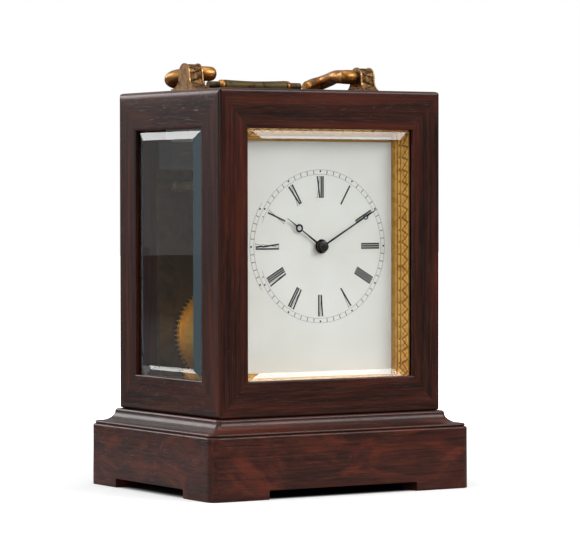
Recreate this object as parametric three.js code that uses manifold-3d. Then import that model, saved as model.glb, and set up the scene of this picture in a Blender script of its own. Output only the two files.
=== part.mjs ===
// Carriage clock: a small spring-driven travelling clock in a veneered wooden case.
// Millimetres. X runs to the right seen from the dial, Y to the back and Z up.
// The origin lies on the ground, under the middle of the case.

import * as THREE from 'three';
import { mergeVertices } from 'three/addons/utils/BufferGeometryUtils.js';
import Module from 'manifold-3d';

const wasm = await Module();
wasm.setup();

// ---------------------------------------------------------------- driving dimensions

// Case body
const CASE_WIDTH = 90;
const CASE_DEPTH = 71;
const CASE_TOP = 139.2;
const CASE_CORNER_RADIUS = 1.4;
const WALL = 6;
const GLASS_LIP = 1.3;
const FRONT_STILE = 11.4;
const SIDE_STILE = 12.35;
const TOP_RAIL = 13.6;
const BOTTOM_RAIL = 12.6;
const TOP_BOARD_THICKNESS = 6;

// Plinth and the moulding between it and the case
const PLINTH_OVERHANG = 7.7;
const PLINTH_HEIGHT = 21.7;
const PLINTH_CORNER_RADIUS = 3.3;
const PLINTH_BOARD = 9;
const FRONT_FOOT_LENGTH = 22.7;
const SIDE_FOOT_LENGTH = 19.2;
const FOOT_GAP_HEIGHT = 3.1;
const FOOT_CURVE_RADIUS = 0.8;
const MOULDING_HEIGHT = 5.4;
const MOULDING_FOOT_OVERHANG = 7;
const MOULDING_TOP_OVERHANG = 1.1;
const MOULDING_TOP_FILLET = 0.4;
const MOULDING_FOOT_FILLET = 1.1;
const BASE_BOARD_THICKNESS = 4;

// Bevelled glass
const GLASS_THICKNESS = 3.4;
const GLASS_EDGE_THICKNESS = 1.2;
const GLASS_INSET = 0.1;
const GLASS_HOLD = 2.7;
const GLASS_SIDE_BEVEL = 8.2;
const GLASS_END_BEVEL = 6.1;
const RABBET_WIDTH = 3;

// Door in the back, and its hinges
const DOOR_GAP = 0.3;
const DOOR_STILE = 11.4;
const HINGE_HEIGHT = 14;
const HINGE_LEAF_WIDTH = 3.1;
const HINGE_LEAF_THICKNESS = 0.8;
const HINGE_BARREL_RADIUS = 1.1;
const HINGE_PIN_RADIUS = 0.45;
const HINGE_BORE_RADIUS = 0.65;
const HINGE_INSET = 16;
const KNOB_RADIUS = 2.2;
const KNOB_LENGTH = 4.2;

// Carrying handle, at rest folded down to the back
const BRACKET_SIDE_INSET = 6.5;
const BRACKET_THICKNESS = 6;
const BRACKET_FOOT_HALF = 9;
const BRACKET_NECK_HALF = 3.7;
const BRACKET_TOP_RADIUS = 3.5;
const HANDLE_PIVOT_HEIGHT = 6.1;
const HANDLE_PIN_RADIUS = 1.2;
const HANDLE_BORE_RADIUS = 1.45;
const KNUCKLE_RADIUS = 2.6;
const KNUCKLE_LENGTH = 6;
const ARM_RADIUS = 2.3;
const HANDLE_SIDE_GAP = 0.7;
const HANDLE_REACH = 22.3;
const GRIP_REACH = 16.5;
const GRIP_DROP = 3.2;
const GRIP_RADIUS = 2.3;
const GRIP_NECK_RADIUS = 1.3;
const GRIP_HALF_LENGTH = 21;

// Dial and hands
const SLIP_SPLAY = 4.15;
const SLIP_BOTTOM_INSET = 2.1;
const SLIP_TOP_INSET = 4.1;
const SLIP_DEPTH = 5.5;
const SLIP_BORDER = 2.6;
const DIAL_THICKNESS = 1.5;
const DIAL_CENTRE_RISE = 2.55;
const DIAL_HOLE_RADIUS = 2.1;
const MINUTE_HAND_LENGTH = 25.7;
const HOUR_HAND_LENGTH = 17;
const MINUTE_HAND_ANGLE = 60;
const HOUR_HAND_ANGLE = -55;
const HAND_THICKNESS = 0.4;
const COLLET_RADIUS = 1.9;
const HOUR_HUB_RADIUS = 2.5;
const MINUTE_HUB_RADIUS = 2.1;

// Movement plates
const PLATE_THICKNESS = 2.4;
const PLATE_SIDE_GAP = 3.5;
const PLATE_FRONT_GAP = 4;
const PLATE_BACK_GAP = 8.1;
const PILLAR_RADIUS = 2.2;
const PILLAR_SIDE_INSET = 6.5;
const PILLAR_END_INSET = 6;
const PIVOT_RADIUS = 0.5;
const PIVOT_HOLE_RADIUS = 0.7;
const RUNNING_GAP = 0.2;

// Going train, from the spring to the balance: numbers of teeth, modules and directions
const GREAT_TEETH = 60;
const GREAT_MODULE = 0.55;
const INTERMEDIATE_LEAVES = 8;
const INTERMEDIATE_TEETH = 56;
const INTERMEDIATE_MODULE = 0.5;
const CENTRE_LEAVES = 8;
const CENTRE_TEETH = 56;
const CENTRE_MODULE = 0.45;
const THIRD_LEAVES = 7;
const THIRD_TEETH = 45;
const THIRD_MODULE = 0.42;
const CONTRATE_LEAVES = 6;
const CONTRATE_TEETH = 60;
const CONTRATE_RADIUS = 8;
const ESCAPE_LEAVES = 6;
const ESCAPE_TEETH = 15;
const ESCAPE_RADIUS = 4.2;
const GREAT_DIRECTION = 240.6;
const INTERMEDIATE_DIRECTION = 254.4;
const THIRD_DIRECTION = 45;
const CONTRATE_DIRECTION = 138;
const WHEEL_THICKNESS = 1.4;
const PINION_LENGTH = 3;
const ARBOR_RADIUS = 0.9;

// Motion work behind the dial
const CANNON_LEAVES = 12;
const MINUTE_WHEEL_TEETH = 36;
const MINUTE_WHEEL_LEAVES = 10;
const HOUR_WHEEL_TEETH = 40;
const MOTION_CENTRES = 9.5;
const MOTION_DIRECTION = 300;
const MOTION_WHEEL_THICKNESS = 1.1;
const HAND_ARBOR_RADIUS = 0.5;
const CANNON_BORE_RADIUS = 0.7;
const CANNON_PIPE_RADIUS = 1.05;
const HOUR_BORE_RADIUS = 1.25;
const HOUR_PIPE_RADIUS = 1.65;
const HOUR_HAND_BORE_RADIUS = 1.8;

// Mainspring, barrel and winding work
const BARREL_RADIUS = 14;
const BARREL_LENGTH = 10;
const BARREL_WALL = 1;
const BARREL_ARBOR_RADIUS = 2.2;
const SPRING_THICKNESS = 0.5;
const SPRING_TURNS = 3;
const SPRING_INNER_RADIUS = 5;
const RATCHET_TEETH = 20;
const RATCHET_RADIUS = 7.5;
const RATCHET_THICKNESS = 1.4;
const CLICK_BOSS = 1.4;
const CLICK_LENGTH = 6.2;
const CLICK_RISE = 1.9;
const CLICK_GAP = 0.3;
const WINDING_SQUARE = 2.6;
const WINDING_REACH = 6.6;

// Platform escapement on top of the plates
const PLATFORM_WIDTH = 28;
const PLATFORM_THICKNESS = 2.4;
const PLATFORM_CLEARANCE = 1.6;
const PALLET_GAP = 0.5;
const BALANCE_RADIUS = 7.5;
const BALANCE_DISTANCE = 8;
const BALANCE_THICKNESS = 1.3;
const BALANCE_SPRING_RADIUS = 4.4;
const BALANCE_SPRING_HEIGHT = 0.4;
const COCK_THICKNESS = 1.2;

// ---------------------------------------------------------------- derived places

const halfWidth = CASE_WIDTH / 2;
const halfDepth = CASE_DEPTH / 2;
const innerHalfWidth = halfWidth - WALL;
const innerHalfDepth = halfDepth - WALL;
const caseBottom = PLINTH_HEIGHT + MOULDING_HEIGHT;
const windowBottom = caseBottom + BOTTOM_RAIL;
const windowTop = CASE_TOP - TOP_RAIL;
const topBoardBottom = CASE_TOP - TOP_BOARD_THICKNESS;
const frontWindowHalf = halfWidth - FRONT_STILE;
const sideWindowHalf = halfDepth - SIDE_STILE;
const doorHalf = innerHalfWidth - DOOR_GAP;
const doorBottom = caseBottom + DOOR_GAP;
const doorTop = topBoardBottom - DOOR_GAP;
const doorWindowHalf = doorHalf - DOOR_STILE;
const hingeX = innerHalfWidth + DOOR_GAP / 2;
const hingeY = halfDepth + HINGE_BARREL_RADIUS + RUNNING_GAP;

const glassFront = -halfDepth + GLASS_INSET;
const glassBack = glassFront + GLASS_THICKNESS;
const dialFront = glassBack + SLIP_DEPTH;
const dialBack = dialFront + DIAL_THICKNESS;
const dialHalf = frontWindowHalf - SLIP_SPLAY;
const dialBottom = windowBottom + SLIP_BOTTOM_INSET;
const dialTop = windowTop - SLIP_TOP_INSET;
const centre = { x: 0, z: (windowBottom + windowTop) / 2 + DIAL_CENTRE_RISE };

const plateHalf = innerHalfWidth - PLATE_SIDE_GAP;
const frontPlateFront = dialBack + PLATE_FRONT_GAP;
const frontPlateBack = frontPlateFront + PLATE_THICKNESS;
const backPlateBack = innerHalfDepth - PLATE_BACK_GAP;
const backPlateFront = backPlateBack - PLATE_THICKNESS;

// Where a meshing wheel's centre lies, from the centre of the one that it meshes with
function meshedAt(from, distance, degrees) {
  const angle = THREE.MathUtils.degToRad(degrees);
  return { x: from.x + distance * Math.cos(angle), z: from.z + distance * Math.sin(angle) };
}

const pitchRadius = (module, teeth) => module * teeth / 2;

const intermediate = meshedAt(
  centre,
  pitchRadius(INTERMEDIATE_MODULE, INTERMEDIATE_TEETH + CENTRE_LEAVES),
  INTERMEDIATE_DIRECTION,
);
const great = meshedAt(
  intermediate,
  pitchRadius(GREAT_MODULE, GREAT_TEETH + INTERMEDIATE_LEAVES),
  GREAT_DIRECTION,
);
const third = meshedAt(
  centre,
  pitchRadius(CENTRE_MODULE, CENTRE_TEETH + THIRD_LEAVES),
  THIRD_DIRECTION,
);
const contrate = meshedAt(
  third,
  pitchRadius(THIRD_MODULE, THIRD_TEETH + CONTRATE_LEAVES),
  CONTRATE_DIRECTION,
);
const minuteWork = meshedAt(centre, MOTION_CENTRES, MOTION_DIRECTION);

// Layers of the train between the plates, front to back
const frontLayer = frontPlateBack + 4;
const contrateFront = frontPlateBack + 11;
const contrateBack = contrateFront + 2;
const centreLayer = backPlateFront - 8.5;
const greatLayer = backPlateFront - 2.8;

const plateTop = contrate.z + CONTRATE_RADIUS + PLATFORM_CLEARANCE;
const platformTop = plateTop + PLATFORM_THICKNESS;
const escapeDepth = 0.4;
const contrateModule = 2 * CONTRATE_RADIUS / CONTRATE_TEETH;
const escapeTip = (ESCAPE_LEAVES / 2 + 0.9) * contrateModule;
const escapeY = contrateBack + escapeTip - escapeDepth;
const palletDistance = ESCAPE_RADIUS / Math.cos(Math.PI / 6);
const palletY = escapeY + palletDistance;
const balanceY = palletY + BALANCE_DISTANCE;

const pivotZ = CASE_TOP + HANDLE_PIVOT_HEIGHT;
const bracketOuter = halfWidth - BRACKET_SIDE_INSET;
const bracketInner = bracketOuter - BRACKET_THICKNESS;
const knuckleOuter = bracketInner - HANDLE_SIDE_GAP;
const knuckleInner = knuckleOuter - KNUCKLE_LENGTH;

// ---------------------------------------------------------------- materials

function finish(colour, roughness, metalness) {
  return new THREE.MeshStandardMaterial({ color: colour, roughness, metalness });
}

const rosewood = finish(0x43241f, 0.35, 0);
const innerWood = finish(0x6b4a33, 0.7, 0);
const glass = finish(0xcfdad8, 0.05, 0);
const gilt = finish(0xc8963c, 0.3, 1);
const bronze = finish(0x5a4632, 0.4, 1);
const handleGold = finish(0xa87c3c, 0.3, 1);
const brass = finish(0xb8954a, 0.3, 1);
const steel = finish(0x8c8f92, 0.3, 1);
const blued = finish(0x1c2440, 0.3, 1);
const enamel = finish(0xeeeae0, 0.2, 0);

// ---------------------------------------------------------------- solids

// A closed solid for cutting and joining
function solid(geometry) {
  const bare = geometry.clone();
  bare.deleteAttribute('normal');
  bare.deleteAttribute('uv');
  const merged = mergeVertices(bare, 1e-5);
  return new wasm.Manifold(new wasm.Mesh({
    numProp: 3,
    vertProperties: merged.attributes.position.array,
    triVerts: new Uint32Array(merged.index.array),
  }));
}

// The geometry of a solid that has been cut or joined
function surface(manifold) {
  const mesh = manifold.getMesh();
  const geometry = new THREE.BufferGeometry();
  geometry.setAttribute('position', new THREE.BufferAttribute(mesh.vertProperties, 3));
  geometry.setIndex(new THREE.BufferAttribute(mesh.triVerts, 1));
  geometry.computeVertexNormals();
  return geometry;
}

function join(first, ...others) {
  return surface(others.reduce((sum, other) => sum.add(solid(other)), solid(first)));
}

function cut(first, ...others) {
  return surface(others.reduce((rest, other) => rest.subtract(solid(other)), solid(first)));
}

function block(x0, x1, y0, y1, z0, z1) {
  const box = new THREE.BoxGeometry(x1 - x0, y1 - y0, z1 - z0);
  return box.translate((x0 + x1) / 2, (y0 + y1) / 2, (z0 + z1) / 2);
}

const flat = { bevelEnabled: false, steps: 1 };

// An outline drawn in X and Y, from one height to another
function alongZ(shape, z0, z1, curveSegments = 6) {
  const body = new THREE.ExtrudeGeometry(shape, { ...flat, depth: z1 - z0, curveSegments });
  return body.translate(0, 0, z0);
}

// An outline drawn in X and Z, from one Y to another
function alongY(shape, y0, y1, curveSegments = 6) {
  const body = new THREE.ExtrudeGeometry(shape, { ...flat, depth: y1 - y0, curveSegments });
  const turn = new THREE.Matrix4().makeBasis(
    new THREE.Vector3(1, 0, 0),
    new THREE.Vector3(0, 0, 1),
    new THREE.Vector3(0, -1, 0),
  );
  return body.applyMatrix4(turn).translate(0, y1, 0);
}

// An outline drawn in Y and Z, from one X to another
function alongX(shape, x0, x1, curveSegments = 6) {
  const body = new THREE.ExtrudeGeometry(shape, { ...flat, depth: x1 - x0, curveSegments });
  const turn = new THREE.Matrix4().makeBasis(
    new THREE.Vector3(0, 1, 0),
    new THREE.Vector3(0, 0, 1),
    new THREE.Vector3(1, 0, 0),
  );
  return body.applyMatrix4(turn).translate(x0, 0, 0);
}

// A turned piece on the Y axis: points are radius and Y, from front to back
function turnedY(points, segments = 16) {
  return new THREE.LatheGeometry(points.map(([r, y]) => new THREE.Vector2(r, y)), segments);
}

function turnedZ(points, segments = 16) {
  return turnedY(points, segments).rotateX(Math.PI / 2);
}

function turnedX(points, segments = 16) {
  return turnedY(points, segments).rotateZ(-Math.PI / 2);
}

function rod(radius, from, to) {
  return [[0, from], [radius, from], [radius, to], [0, to]];
}

function polygon(points) {
  return new THREE.Shape(points.map(([x, y]) => new THREE.Vector2(x, y)));
}

function circlePoints(radius, count, cx = 0, cy = 0) {
  return Array.from({ length: count }, (_, i) => {
    const angle = 2 * Math.PI * i / count;
    return [cx + radius * Math.cos(angle), cy + radius * Math.sin(angle)];
  });
}

function hole(radius, count = 12, cx = 0, cy = 0) {
  return new THREE.Path(circlePoints(radius, count, cx, cy).map(([x, y]) => new THREE.Vector2(x, y)));
}

function arcPoints(cx, cy, radius, fromDegrees, toDegrees, steps) {
  return Array.from({ length: steps + 1 }, (_, i) => {
    const angle = THREE.MathUtils.degToRad(fromDegrees + (toDegrees - fromDegrees) * i / steps);
    return [cx + radius * Math.cos(angle), cy + radius * Math.sin(angle)];
  });
}

const clock = new THREE.Group();

function group(parent = clock) {
  const inner = new THREE.Group();
  parent.add(inner);
  return inner;
}

function piece(parent, name, geometry, material, x = 0, y = 0, z = 0) {
  const mesh = new THREE.Mesh(geometry, material);
  mesh.name = name;
  mesh.position.set(x, y, z);
  parent.add(mesh);
  return mesh;
}

// ---------------------------------------------------------------- plinth and moulding

// The plan of a front board whose ends are mitred into its neighbours
function mitredPlan(halfLength, halfAcross, thickness, radius) {
  const left = arcPoints(-halfLength + radius, -halfAcross + radius, radius, 225, 270, 3);
  const right = arcPoints(halfLength - radius, -halfAcross + radius, radius, 270, 315, 3);
  return polygon([
    [-halfLength + thickness, -halfAcross + thickness],
    ...left,
    ...right,
    [halfLength - thickness, -halfAcross + thickness],
  ]);
}

function plinthBoard(halfLength, halfAcross, footLength) {
  const plan = mitredPlan(halfLength, halfAcross, PLINTH_BOARD, PLINTH_CORNER_RADIUS);
  const gapHalf = halfLength - footLength;
  const curve = gapHalf - FOOT_CURVE_RADIUS;
  const gap = polygon([
    [-gapHalf, -1],
    ...arcPoints(-curve, FOOT_GAP_HEIGHT - FOOT_CURVE_RADIUS, FOOT_CURVE_RADIUS, 180, 90, 4),
    ...arcPoints(curve, FOOT_GAP_HEIGHT - FOOT_CURVE_RADIUS, FOOT_CURVE_RADIUS, 90, 0, 4),
    [gapHalf, -1],
  ]);
  return cut(
    alongZ(plan, 0, PLINTH_HEIGHT),
    alongY(gap, -halfAcross - 1, -halfAcross + PLINTH_BOARD + 1),
  );
}

// A moulding bar with mitred ends: its section is drawn as overhang and height
function mouldingBar(halfLength, halfAcross) {
  const coveTop = MOULDING_HEIGHT - MOULDING_TOP_FILLET;
  const coveReach = MOULDING_FOOT_OVERHANG - MOULDING_TOP_OVERHANG;
  const coveRise = coveTop - MOULDING_FOOT_FILLET;
  const cove = arcPoints(0, 0, 1, 180, 270, 5).map(([c, s]) => [
    MOULDING_FOOT_OVERHANG + coveReach * c,
    coveTop + coveRise * s,
  ]);
  const section = polygon([
    [-WALL, 0],
    [-WALL, MOULDING_HEIGHT],
    [MOULDING_TOP_OVERHANG, MOULDING_HEIGHT],
    ...cove,
    [MOULDING_FOOT_OVERHANG, 0],
  ]);
  const bar = alongX(section, -1, 1);
  const at = bar.attributes.position;
  for (let i = 0; i < at.count; i += 1) {
    const overhang = at.getY(i);
    at.setX(i, at.getX(i) * (halfLength + overhang));
    at.setY(i, -halfAcross - overhang);
  }
  return surface(solid(flipped(bar)));
}

// The same surface with its faces turned over, after a mirroring
function flipped(geometry) {
  const plain = mergeVertices(geometry.deleteAttribute('normal').deleteAttribute('uv'));
  const index = plain.index.array;
  for (let i = 0; i < index.length; i += 3) {
    [index[i], index[i + 1]] = [index[i + 1], index[i]];
  }
  return plain;
}

function addPlinth() {
  const plinth = group();
  const halfX = halfWidth + PLINTH_OVERHANG;
  const halfY = halfDepth + PLINTH_OVERHANG;
  const sides = [
    ['front', halfX, halfY, FRONT_FOOT_LENGTH, halfWidth, halfDepth, 0],
    ['right', halfY, halfX, SIDE_FOOT_LENGTH, halfDepth, halfWidth, Math.PI / 2],
    ['back', halfX, halfY, FRONT_FOOT_LENGTH, halfWidth, halfDepth, Math.PI],
    ['left', halfY, halfX, SIDE_FOOT_LENGTH, halfDepth, halfWidth, -Math.PI / 2],
  ];
  for (const [name, length, across, foot, caseLength, caseAcross, turn] of sides) {
    const board = piece(plinth, `plinth_${name}`, plinthBoard(length, across, foot), rosewood);
    board.rotation.z = turn;
    const bar = mouldingBar(caseLength, caseAcross);
    const moulding = piece(plinth, `moulding_${name}`, bar, rosewood, 0, 0, PLINTH_HEIGHT);
    moulding.rotation.z = turn;
  }
  const boardX = halfX - PLINTH_BOARD - DOOR_GAP;
  const boardY = halfY - PLINTH_BOARD - DOOR_GAP;
  const raisedX = innerHalfWidth - DOOR_GAP;
  const raisedY = innerHalfDepth - DOOR_GAP;
  const bottom = PLINTH_HEIGHT - BASE_BOARD_THICKNESS;
  const lower = block(-boardX, boardX, -boardY, boardY, bottom, PLINTH_HEIGHT);
  const raised = block(-raisedX, raisedX, -raisedY, raisedY, PLINTH_HEIGHT - 1, caseBottom);
  piece(plinth, 'base_board', join(lower, raised), innerWood);
}

// ---------------------------------------------------------------- case, glass and door

// A bevelled pane standing in X and Z, its bevels to the front, its back on Y = 0
function pane(halfLength, height) {
  const corners = (inset, rise, y) => [
    new THREE.Vector3(-halfLength + inset, y, rise),
    new THREE.Vector3(halfLength - inset, y, rise),
    new THREE.Vector3(halfLength - inset, y, height - rise),
    new THREE.Vector3(-halfLength + inset, y, height - rise),
  ];
  const front = corners(GLASS_SIDE_BEVEL, GLASS_END_BEVEL, -GLASS_THICKNESS);
  const edge = corners(0, 0, -GLASS_EDGE_THICKNESS);
  const back = corners(0, 0, 0);
  const loops = [front, edge, back];
  const body = new THREE.BufferGeometry().setFromPoints(loops.flat());
  const faces = [0, 1, 2, 0, 2, 3, 8, 10, 9, 8, 11, 10];
  for (let loop = 0; loop < 2; loop += 1) {
    for (let side = 0; side < 4; side += 1) {
      const a = 4 * loop + side;
      const b = 4 * loop + (side + 1) % 4;
      faces.push(a, a + 4, b, b, a + 4, b + 4);
    }
  }
  body.setIndex(faces);
  body.computeVertexNormals();
  return body;
}

function paneHeight() {
  return windowTop - windowBottom + 2 * GLASS_HOLD;
}

// A window through a wall in X and Z, with a rabbet for the glass behind its lip
function windowCutters(half, front, lip, back) {
  const wide = half + RABBET_WIDTH;
  return [
    block(-half, half, front - 1, back + 1, windowBottom, windowTop),
    block(-wide, wide, front + lip, back + 1, windowBottom - RABBET_WIDTH, windowTop + RABBET_WIDTH),
  ];
}

function addCase() {
  const body = group();
  const frontPlan = mitredPlan(halfWidth, halfDepth, WALL, CASE_CORNER_RADIUS);
  const front = cut(
    alongZ(frontPlan, caseBottom, CASE_TOP),
    ...windowCutters(frontWindowHalf, -halfDepth, GLASS_LIP, -innerHalfDepth),
  );
  piece(body, 'front_frame', front, rosewood);

  for (const [name, side] of [['left', -1], ['right', 1]]) {
    const r = CASE_CORNER_RADIUS;
    const plan = polygon([
      [side * innerHalfWidth, -innerHalfDepth],
      ...arcPoints(halfWidth - r, -halfDepth + r, r, 315, 360, 3).map(([x, y]) => [side * x, y]),
      ...arcPoints(halfWidth - r, halfDepth - r, r, 0, 90, 4).map(([x, y]) => [side * x, y]),
      [side * innerHalfWidth, halfDepth],
    ]);
    const cutters = windowCutters(sideWindowHalf, -halfWidth, GLASS_LIP, -innerHalfWidth);
    const turned = cutters.map((cutter) => cutter.rotateZ(side * Math.PI / 2));
    piece(body, `${name}_frame`, cut(alongZ(plan, caseBottom, CASE_TOP), ...turned), rosewood);
  }

  const topHalf = innerHalfWidth;
  const top = block(-topHalf, topHalf, -innerHalfDepth, halfDepth, topBoardBottom, CASE_TOP);
  piece(body, 'top_board', top, rosewood);

  const bottom = windowBottom - GLASS_HOLD;
  const frontPane = pane(frontWindowHalf + GLASS_HOLD, paneHeight());
  const sidePane = pane(sideWindowHalf + GLASS_HOLD, paneHeight());
  piece(body, 'front_glass', frontPane, glass, 0, glassBack, bottom);
  const sideGlass = halfWidth - GLASS_INSET - GLASS_THICKNESS;
  piece(body, 'left_glass', sidePane, glass, -sideGlass, 0, bottom).rotation.z = -Math.PI / 2;
  piece(body, 'right_glass', sidePane, glass, sideGlass, 0, bottom).rotation.z = Math.PI / 2;
}

// One leaf of a butt hinge; its barrel is on the Z axis and the leaf runs to one side in X
function hingeLeaf(side, knuckles) {
  const back = HINGE_BARREL_RADIUS + RUNNING_GAP;
  const near = HINGE_BARREL_RADIUS + RUNNING_GAP;
  const plate = block(
    near,
    near + HINGE_LEAF_WIDTH,
    -back,
    -back + HINGE_LEAF_THICKNESS,
    0,
    HINGE_HEIGHT,
  );
  const parts = knuckles.flatMap(([z0, z1]) => [
    turnedZ(rod(HINGE_BARREL_RADIUS, z0, z1)),
    block(0, near + 0.5, -back, -back + HINGE_LEAF_THICKNESS, z0, z1),
  ]);
  const leaf = join(plate, ...parts);
  return side > 0 ? leaf : flipped(leaf.scale(-1, 1, 1));
}

function addDoor() {
  const door = group();
  const frame = block(-doorHalf, doorHalf, -halfDepth, -innerHalfDepth, doorBottom, doorTop);
  const cutters = windowCutters(doorWindowHalf, -halfDepth, GLASS_LIP, -innerHalfDepth);
  piece(door, 'door_frame', cut(frame, ...cutters), rosewood).rotation.z = Math.PI;
  const doorPane = pane(doorWindowHalf + GLASS_HOLD, paneHeight());
  const paneBottom = windowBottom - GLASS_HOLD;
  piece(door, 'door_glass', doorPane, glass, 0, -glassBack, paneBottom).rotation.z = Math.PI;

  const middle = (doorBottom + doorTop) / 2;
  const knob = turnedY([
    [0, 0],
    [1.1, 0],
    [1.1, 1],
    [KNOB_RADIUS, 2],
    [KNOB_RADIUS, 3.2],
    [1.2, KNOB_LENGTH],
    [0, KNOB_LENGTH],
  ], 12);
  piece(door, 'door_knob', knob, gilt, -doorHalf + DOOR_STILE / 2, halfDepth, middle);

  const thirdHeight = HINGE_HEIGHT / 3;
  const low = [0, thirdHeight - RUNNING_GAP / 2];
  const high = [2 * thirdHeight + RUNNING_GAP / 2, HINGE_HEIGHT];
  const mid = [thirdHeight + RUNNING_GAP / 2, 2 * thirdHeight - RUNNING_GAP / 2];
  const caseLeaf = join(hingeLeaf(1, [low, high]), turnedZ(rod(HINGE_PIN_RADIUS, 1, HINGE_HEIGHT - 1), 12));
  const bore = turnedZ(rod(HINGE_BORE_RADIUS, -1, HINGE_HEIGHT + 1), 12);
  const doorLeaf = cut(hingeLeaf(-1, [mid]), bore);
  const heights = [
    ['lower', doorBottom + HINGE_INSET],
    ['upper', doorTop - HINGE_INSET - HINGE_HEIGHT],
  ];
  for (const [name, z] of heights) {
    piece(door, `${name}_hinge_case_leaf`, caseLeaf, brass, hingeX, hingeY, z);
    piece(door, `${name}_hinge_door_leaf`, doorLeaf, brass, hingeX, hingeY, z);
  }
}

// ---------------------------------------------------------------- handle

function bracketOutline() {
  const foot = HANDLE_PIVOT_HEIGHT;
  const flare = BRACKET_FOOT_HALF - BRACKET_NECK_HALF;
  const rise = 3.6;
  const right = arcPoints(0, 0, 1, 270, 180, 5).map(([c, s]) => [
    BRACKET_FOOT_HALF + flare * c,
    -foot + 0.8 + rise + rise * s,
  ]);
  const top = arcPoints(0, 0, BRACKET_TOP_RADIUS, 0, 180, 10);
  const left = right.map(([y, z]) => [-y, z]).reverse();
  return polygon([
    [-BRACKET_FOOT_HALF, -foot],
    [BRACKET_FOOT_HALF, -foot],
    ...right,
    ...top,
    ...left,
  ]);
}

// The right arm, in a frame whose X axis is the pivot line, folded down to the back
function armGeometry() {
  const middle = (knuckleInner + knuckleOuter) / 2;
  const route = new THREE.CatmullRomCurve3([
    new THREE.Vector3(middle, 0, 0),
    new THREE.Vector3(middle + 0.4, 8, 0.3),
    new THREE.Vector3(bracketInner - 0.8, 16.5, -0.4),
    new THREE.Vector3(bracketInner - 1.2, HANDLE_REACH - 0.9, -1.6),
    new THREE.Vector3(bracketInner - 4.6, HANDLE_REACH - 0.4, -2.7),
    new THREE.Vector3(bracketInner - 7.8, GRIP_REACH + 2.2, -GRIP_DROP),
    new THREE.Vector3(GRIP_HALF_LENGTH + 1.4, GRIP_REACH, -GRIP_DROP),
  ], false, 'centripetal');
  const section = polygon(circlePoints(ARM_RADIUS, 8));
  const bar = new THREE.ExtrudeGeometry(section, {
    steps: 18,
    bevelEnabled: false,
    extrudePath: route,
  });
  const knuckle = turnedX(rod(KNUCKLE_RADIUS, knuckleInner, knuckleOuter));
  const nose = new THREE.SphereGeometry(ARM_RADIUS, 10, 8);
  nose.translate(GRIP_HALF_LENGTH + 1.4, GRIP_REACH, -GRIP_DROP);
  const bore = turnedX(rod(HANDLE_BORE_RADIUS, knuckleInner + 1.5, knuckleOuter + 1));
  return cut(join(bar, knuckle, nose), bore);
}

// The grip: a waisted bar between two collars, with tapered ends and thin necks
function gripGeometry() {
  const half = [
    [GRIP_RADIUS * 0.86, 0],
    [GRIP_RADIUS * 0.8, 6],
    [GRIP_RADIUS * 0.95, 12],
    [GRIP_RADIUS, 13.2],
    [GRIP_RADIUS, 14.6],
    [GRIP_NECK_RADIUS, 15],
    [GRIP_NECK_RADIUS, 15.8],
    [GRIP_RADIUS * 0.95, 16.4],
    [GRIP_RADIUS * 0.85, 18],
    [GRIP_NECK_RADIUS, GRIP_HALF_LENGTH - 1],
  ];
  const end = GRIP_HALF_LENGTH - ARM_RADIUS + 1.1;
  const right = half.filter(([, x]) => x < end);
  const left = right.slice(1).reverse().map(([r, x]) => [r, -x]);
  const profile = [[0, -end], [GRIP_NECK_RADIUS, -end], ...left, ...right];
  profile.push([GRIP_NECK_RADIUS, end], [0, end]);
  return turnedX(profile, 12);
}

function addHandle() {
  const handle = group();
  handle.position.set(0, 0, pivotZ);
  const bracket = cut(
    alongX(bracketOutline(), bracketInner, bracketOuter),
    turnedX(rod(HANDLE_BORE_RADIUS, bracketInner - 1, bracketOuter + 1)),
  );
  const arm = armGeometry();
  const pin = turnedX(rod(HANDLE_PIN_RADIUS, knuckleInner + 2, bracketOuter - 0.3));
  const mirrored = (geometry) => flipped(geometry.clone().scale(-1, 1, 1));
  piece(handle, 'handle_bracket_right', bracket, bronze);
  piece(handle, 'handle_bracket_left', mirrored(bracket), bronze);
  piece(handle, 'handle_arm_right', arm, handleGold);
  piece(handle, 'handle_arm_left', mirrored(arm), handleGold);
  piece(handle, 'handle_pin_right', pin, steel);
  piece(handle, 'handle_pin_left', mirrored(pin), steel);
  piece(handle, 'handle_grip', gripGeometry(), bronze, 0, GRIP_REACH, -GRIP_DROP);
}

// ---------------------------------------------------------------- dial and hands

// The gilt surround: a frame behind the glass whose faces slope in to the dial
function slipGeometry() {
  const outerX = frontWindowHalf + SLIP_BORDER;
  const outerBottom = windowBottom - SLIP_BORDER;
  const outerTop = windowTop + SLIP_BORDER;
  const rectangle = (half, bottom, top) => [
    [-half, bottom],
    [half, bottom],
    [half, top],
    [-half, top],
  ];
  const outer = rectangle(outerX, outerBottom, outerTop);
  const front = rectangle(frontWindowHalf, windowBottom, windowTop);
  const step = rectangle(dialHalf + 0.8, dialBottom + 0.5, dialTop + 0.6);
  const back = rectangle(dialHalf, dialBottom, dialTop);
  const loops = [
    [outer, glassBack],
    [front, glassBack],
    [step, dialFront - 0.9],
    [back, dialFront - 0.5],
    [back, dialFront],
    [outer, dialFront],
  ];
  const points = loops.flatMap(([loop, y]) => loop.map(([x, z]) => new THREE.Vector3(x, y, z)));
  const faces = [];
  for (let loop = 0; loop < loops.length; loop += 1) {
    const next = (loop + 1) % loops.length;
    for (let side = 0; side < 4; side += 1) {
      const a = 4 * loop + side;
      const b = 4 * loop + (side + 1) % 4;
      const c = 4 * next + side;
      const d = 4 * next + (side + 1) % 4;
      faces.push(a, b, c, b, d, c);
    }
  }
  const body = new THREE.BufferGeometry().setFromPoints(points);
  body.setIndex(faces);
  body.computeVertexNormals();
  return body;
}

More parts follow.
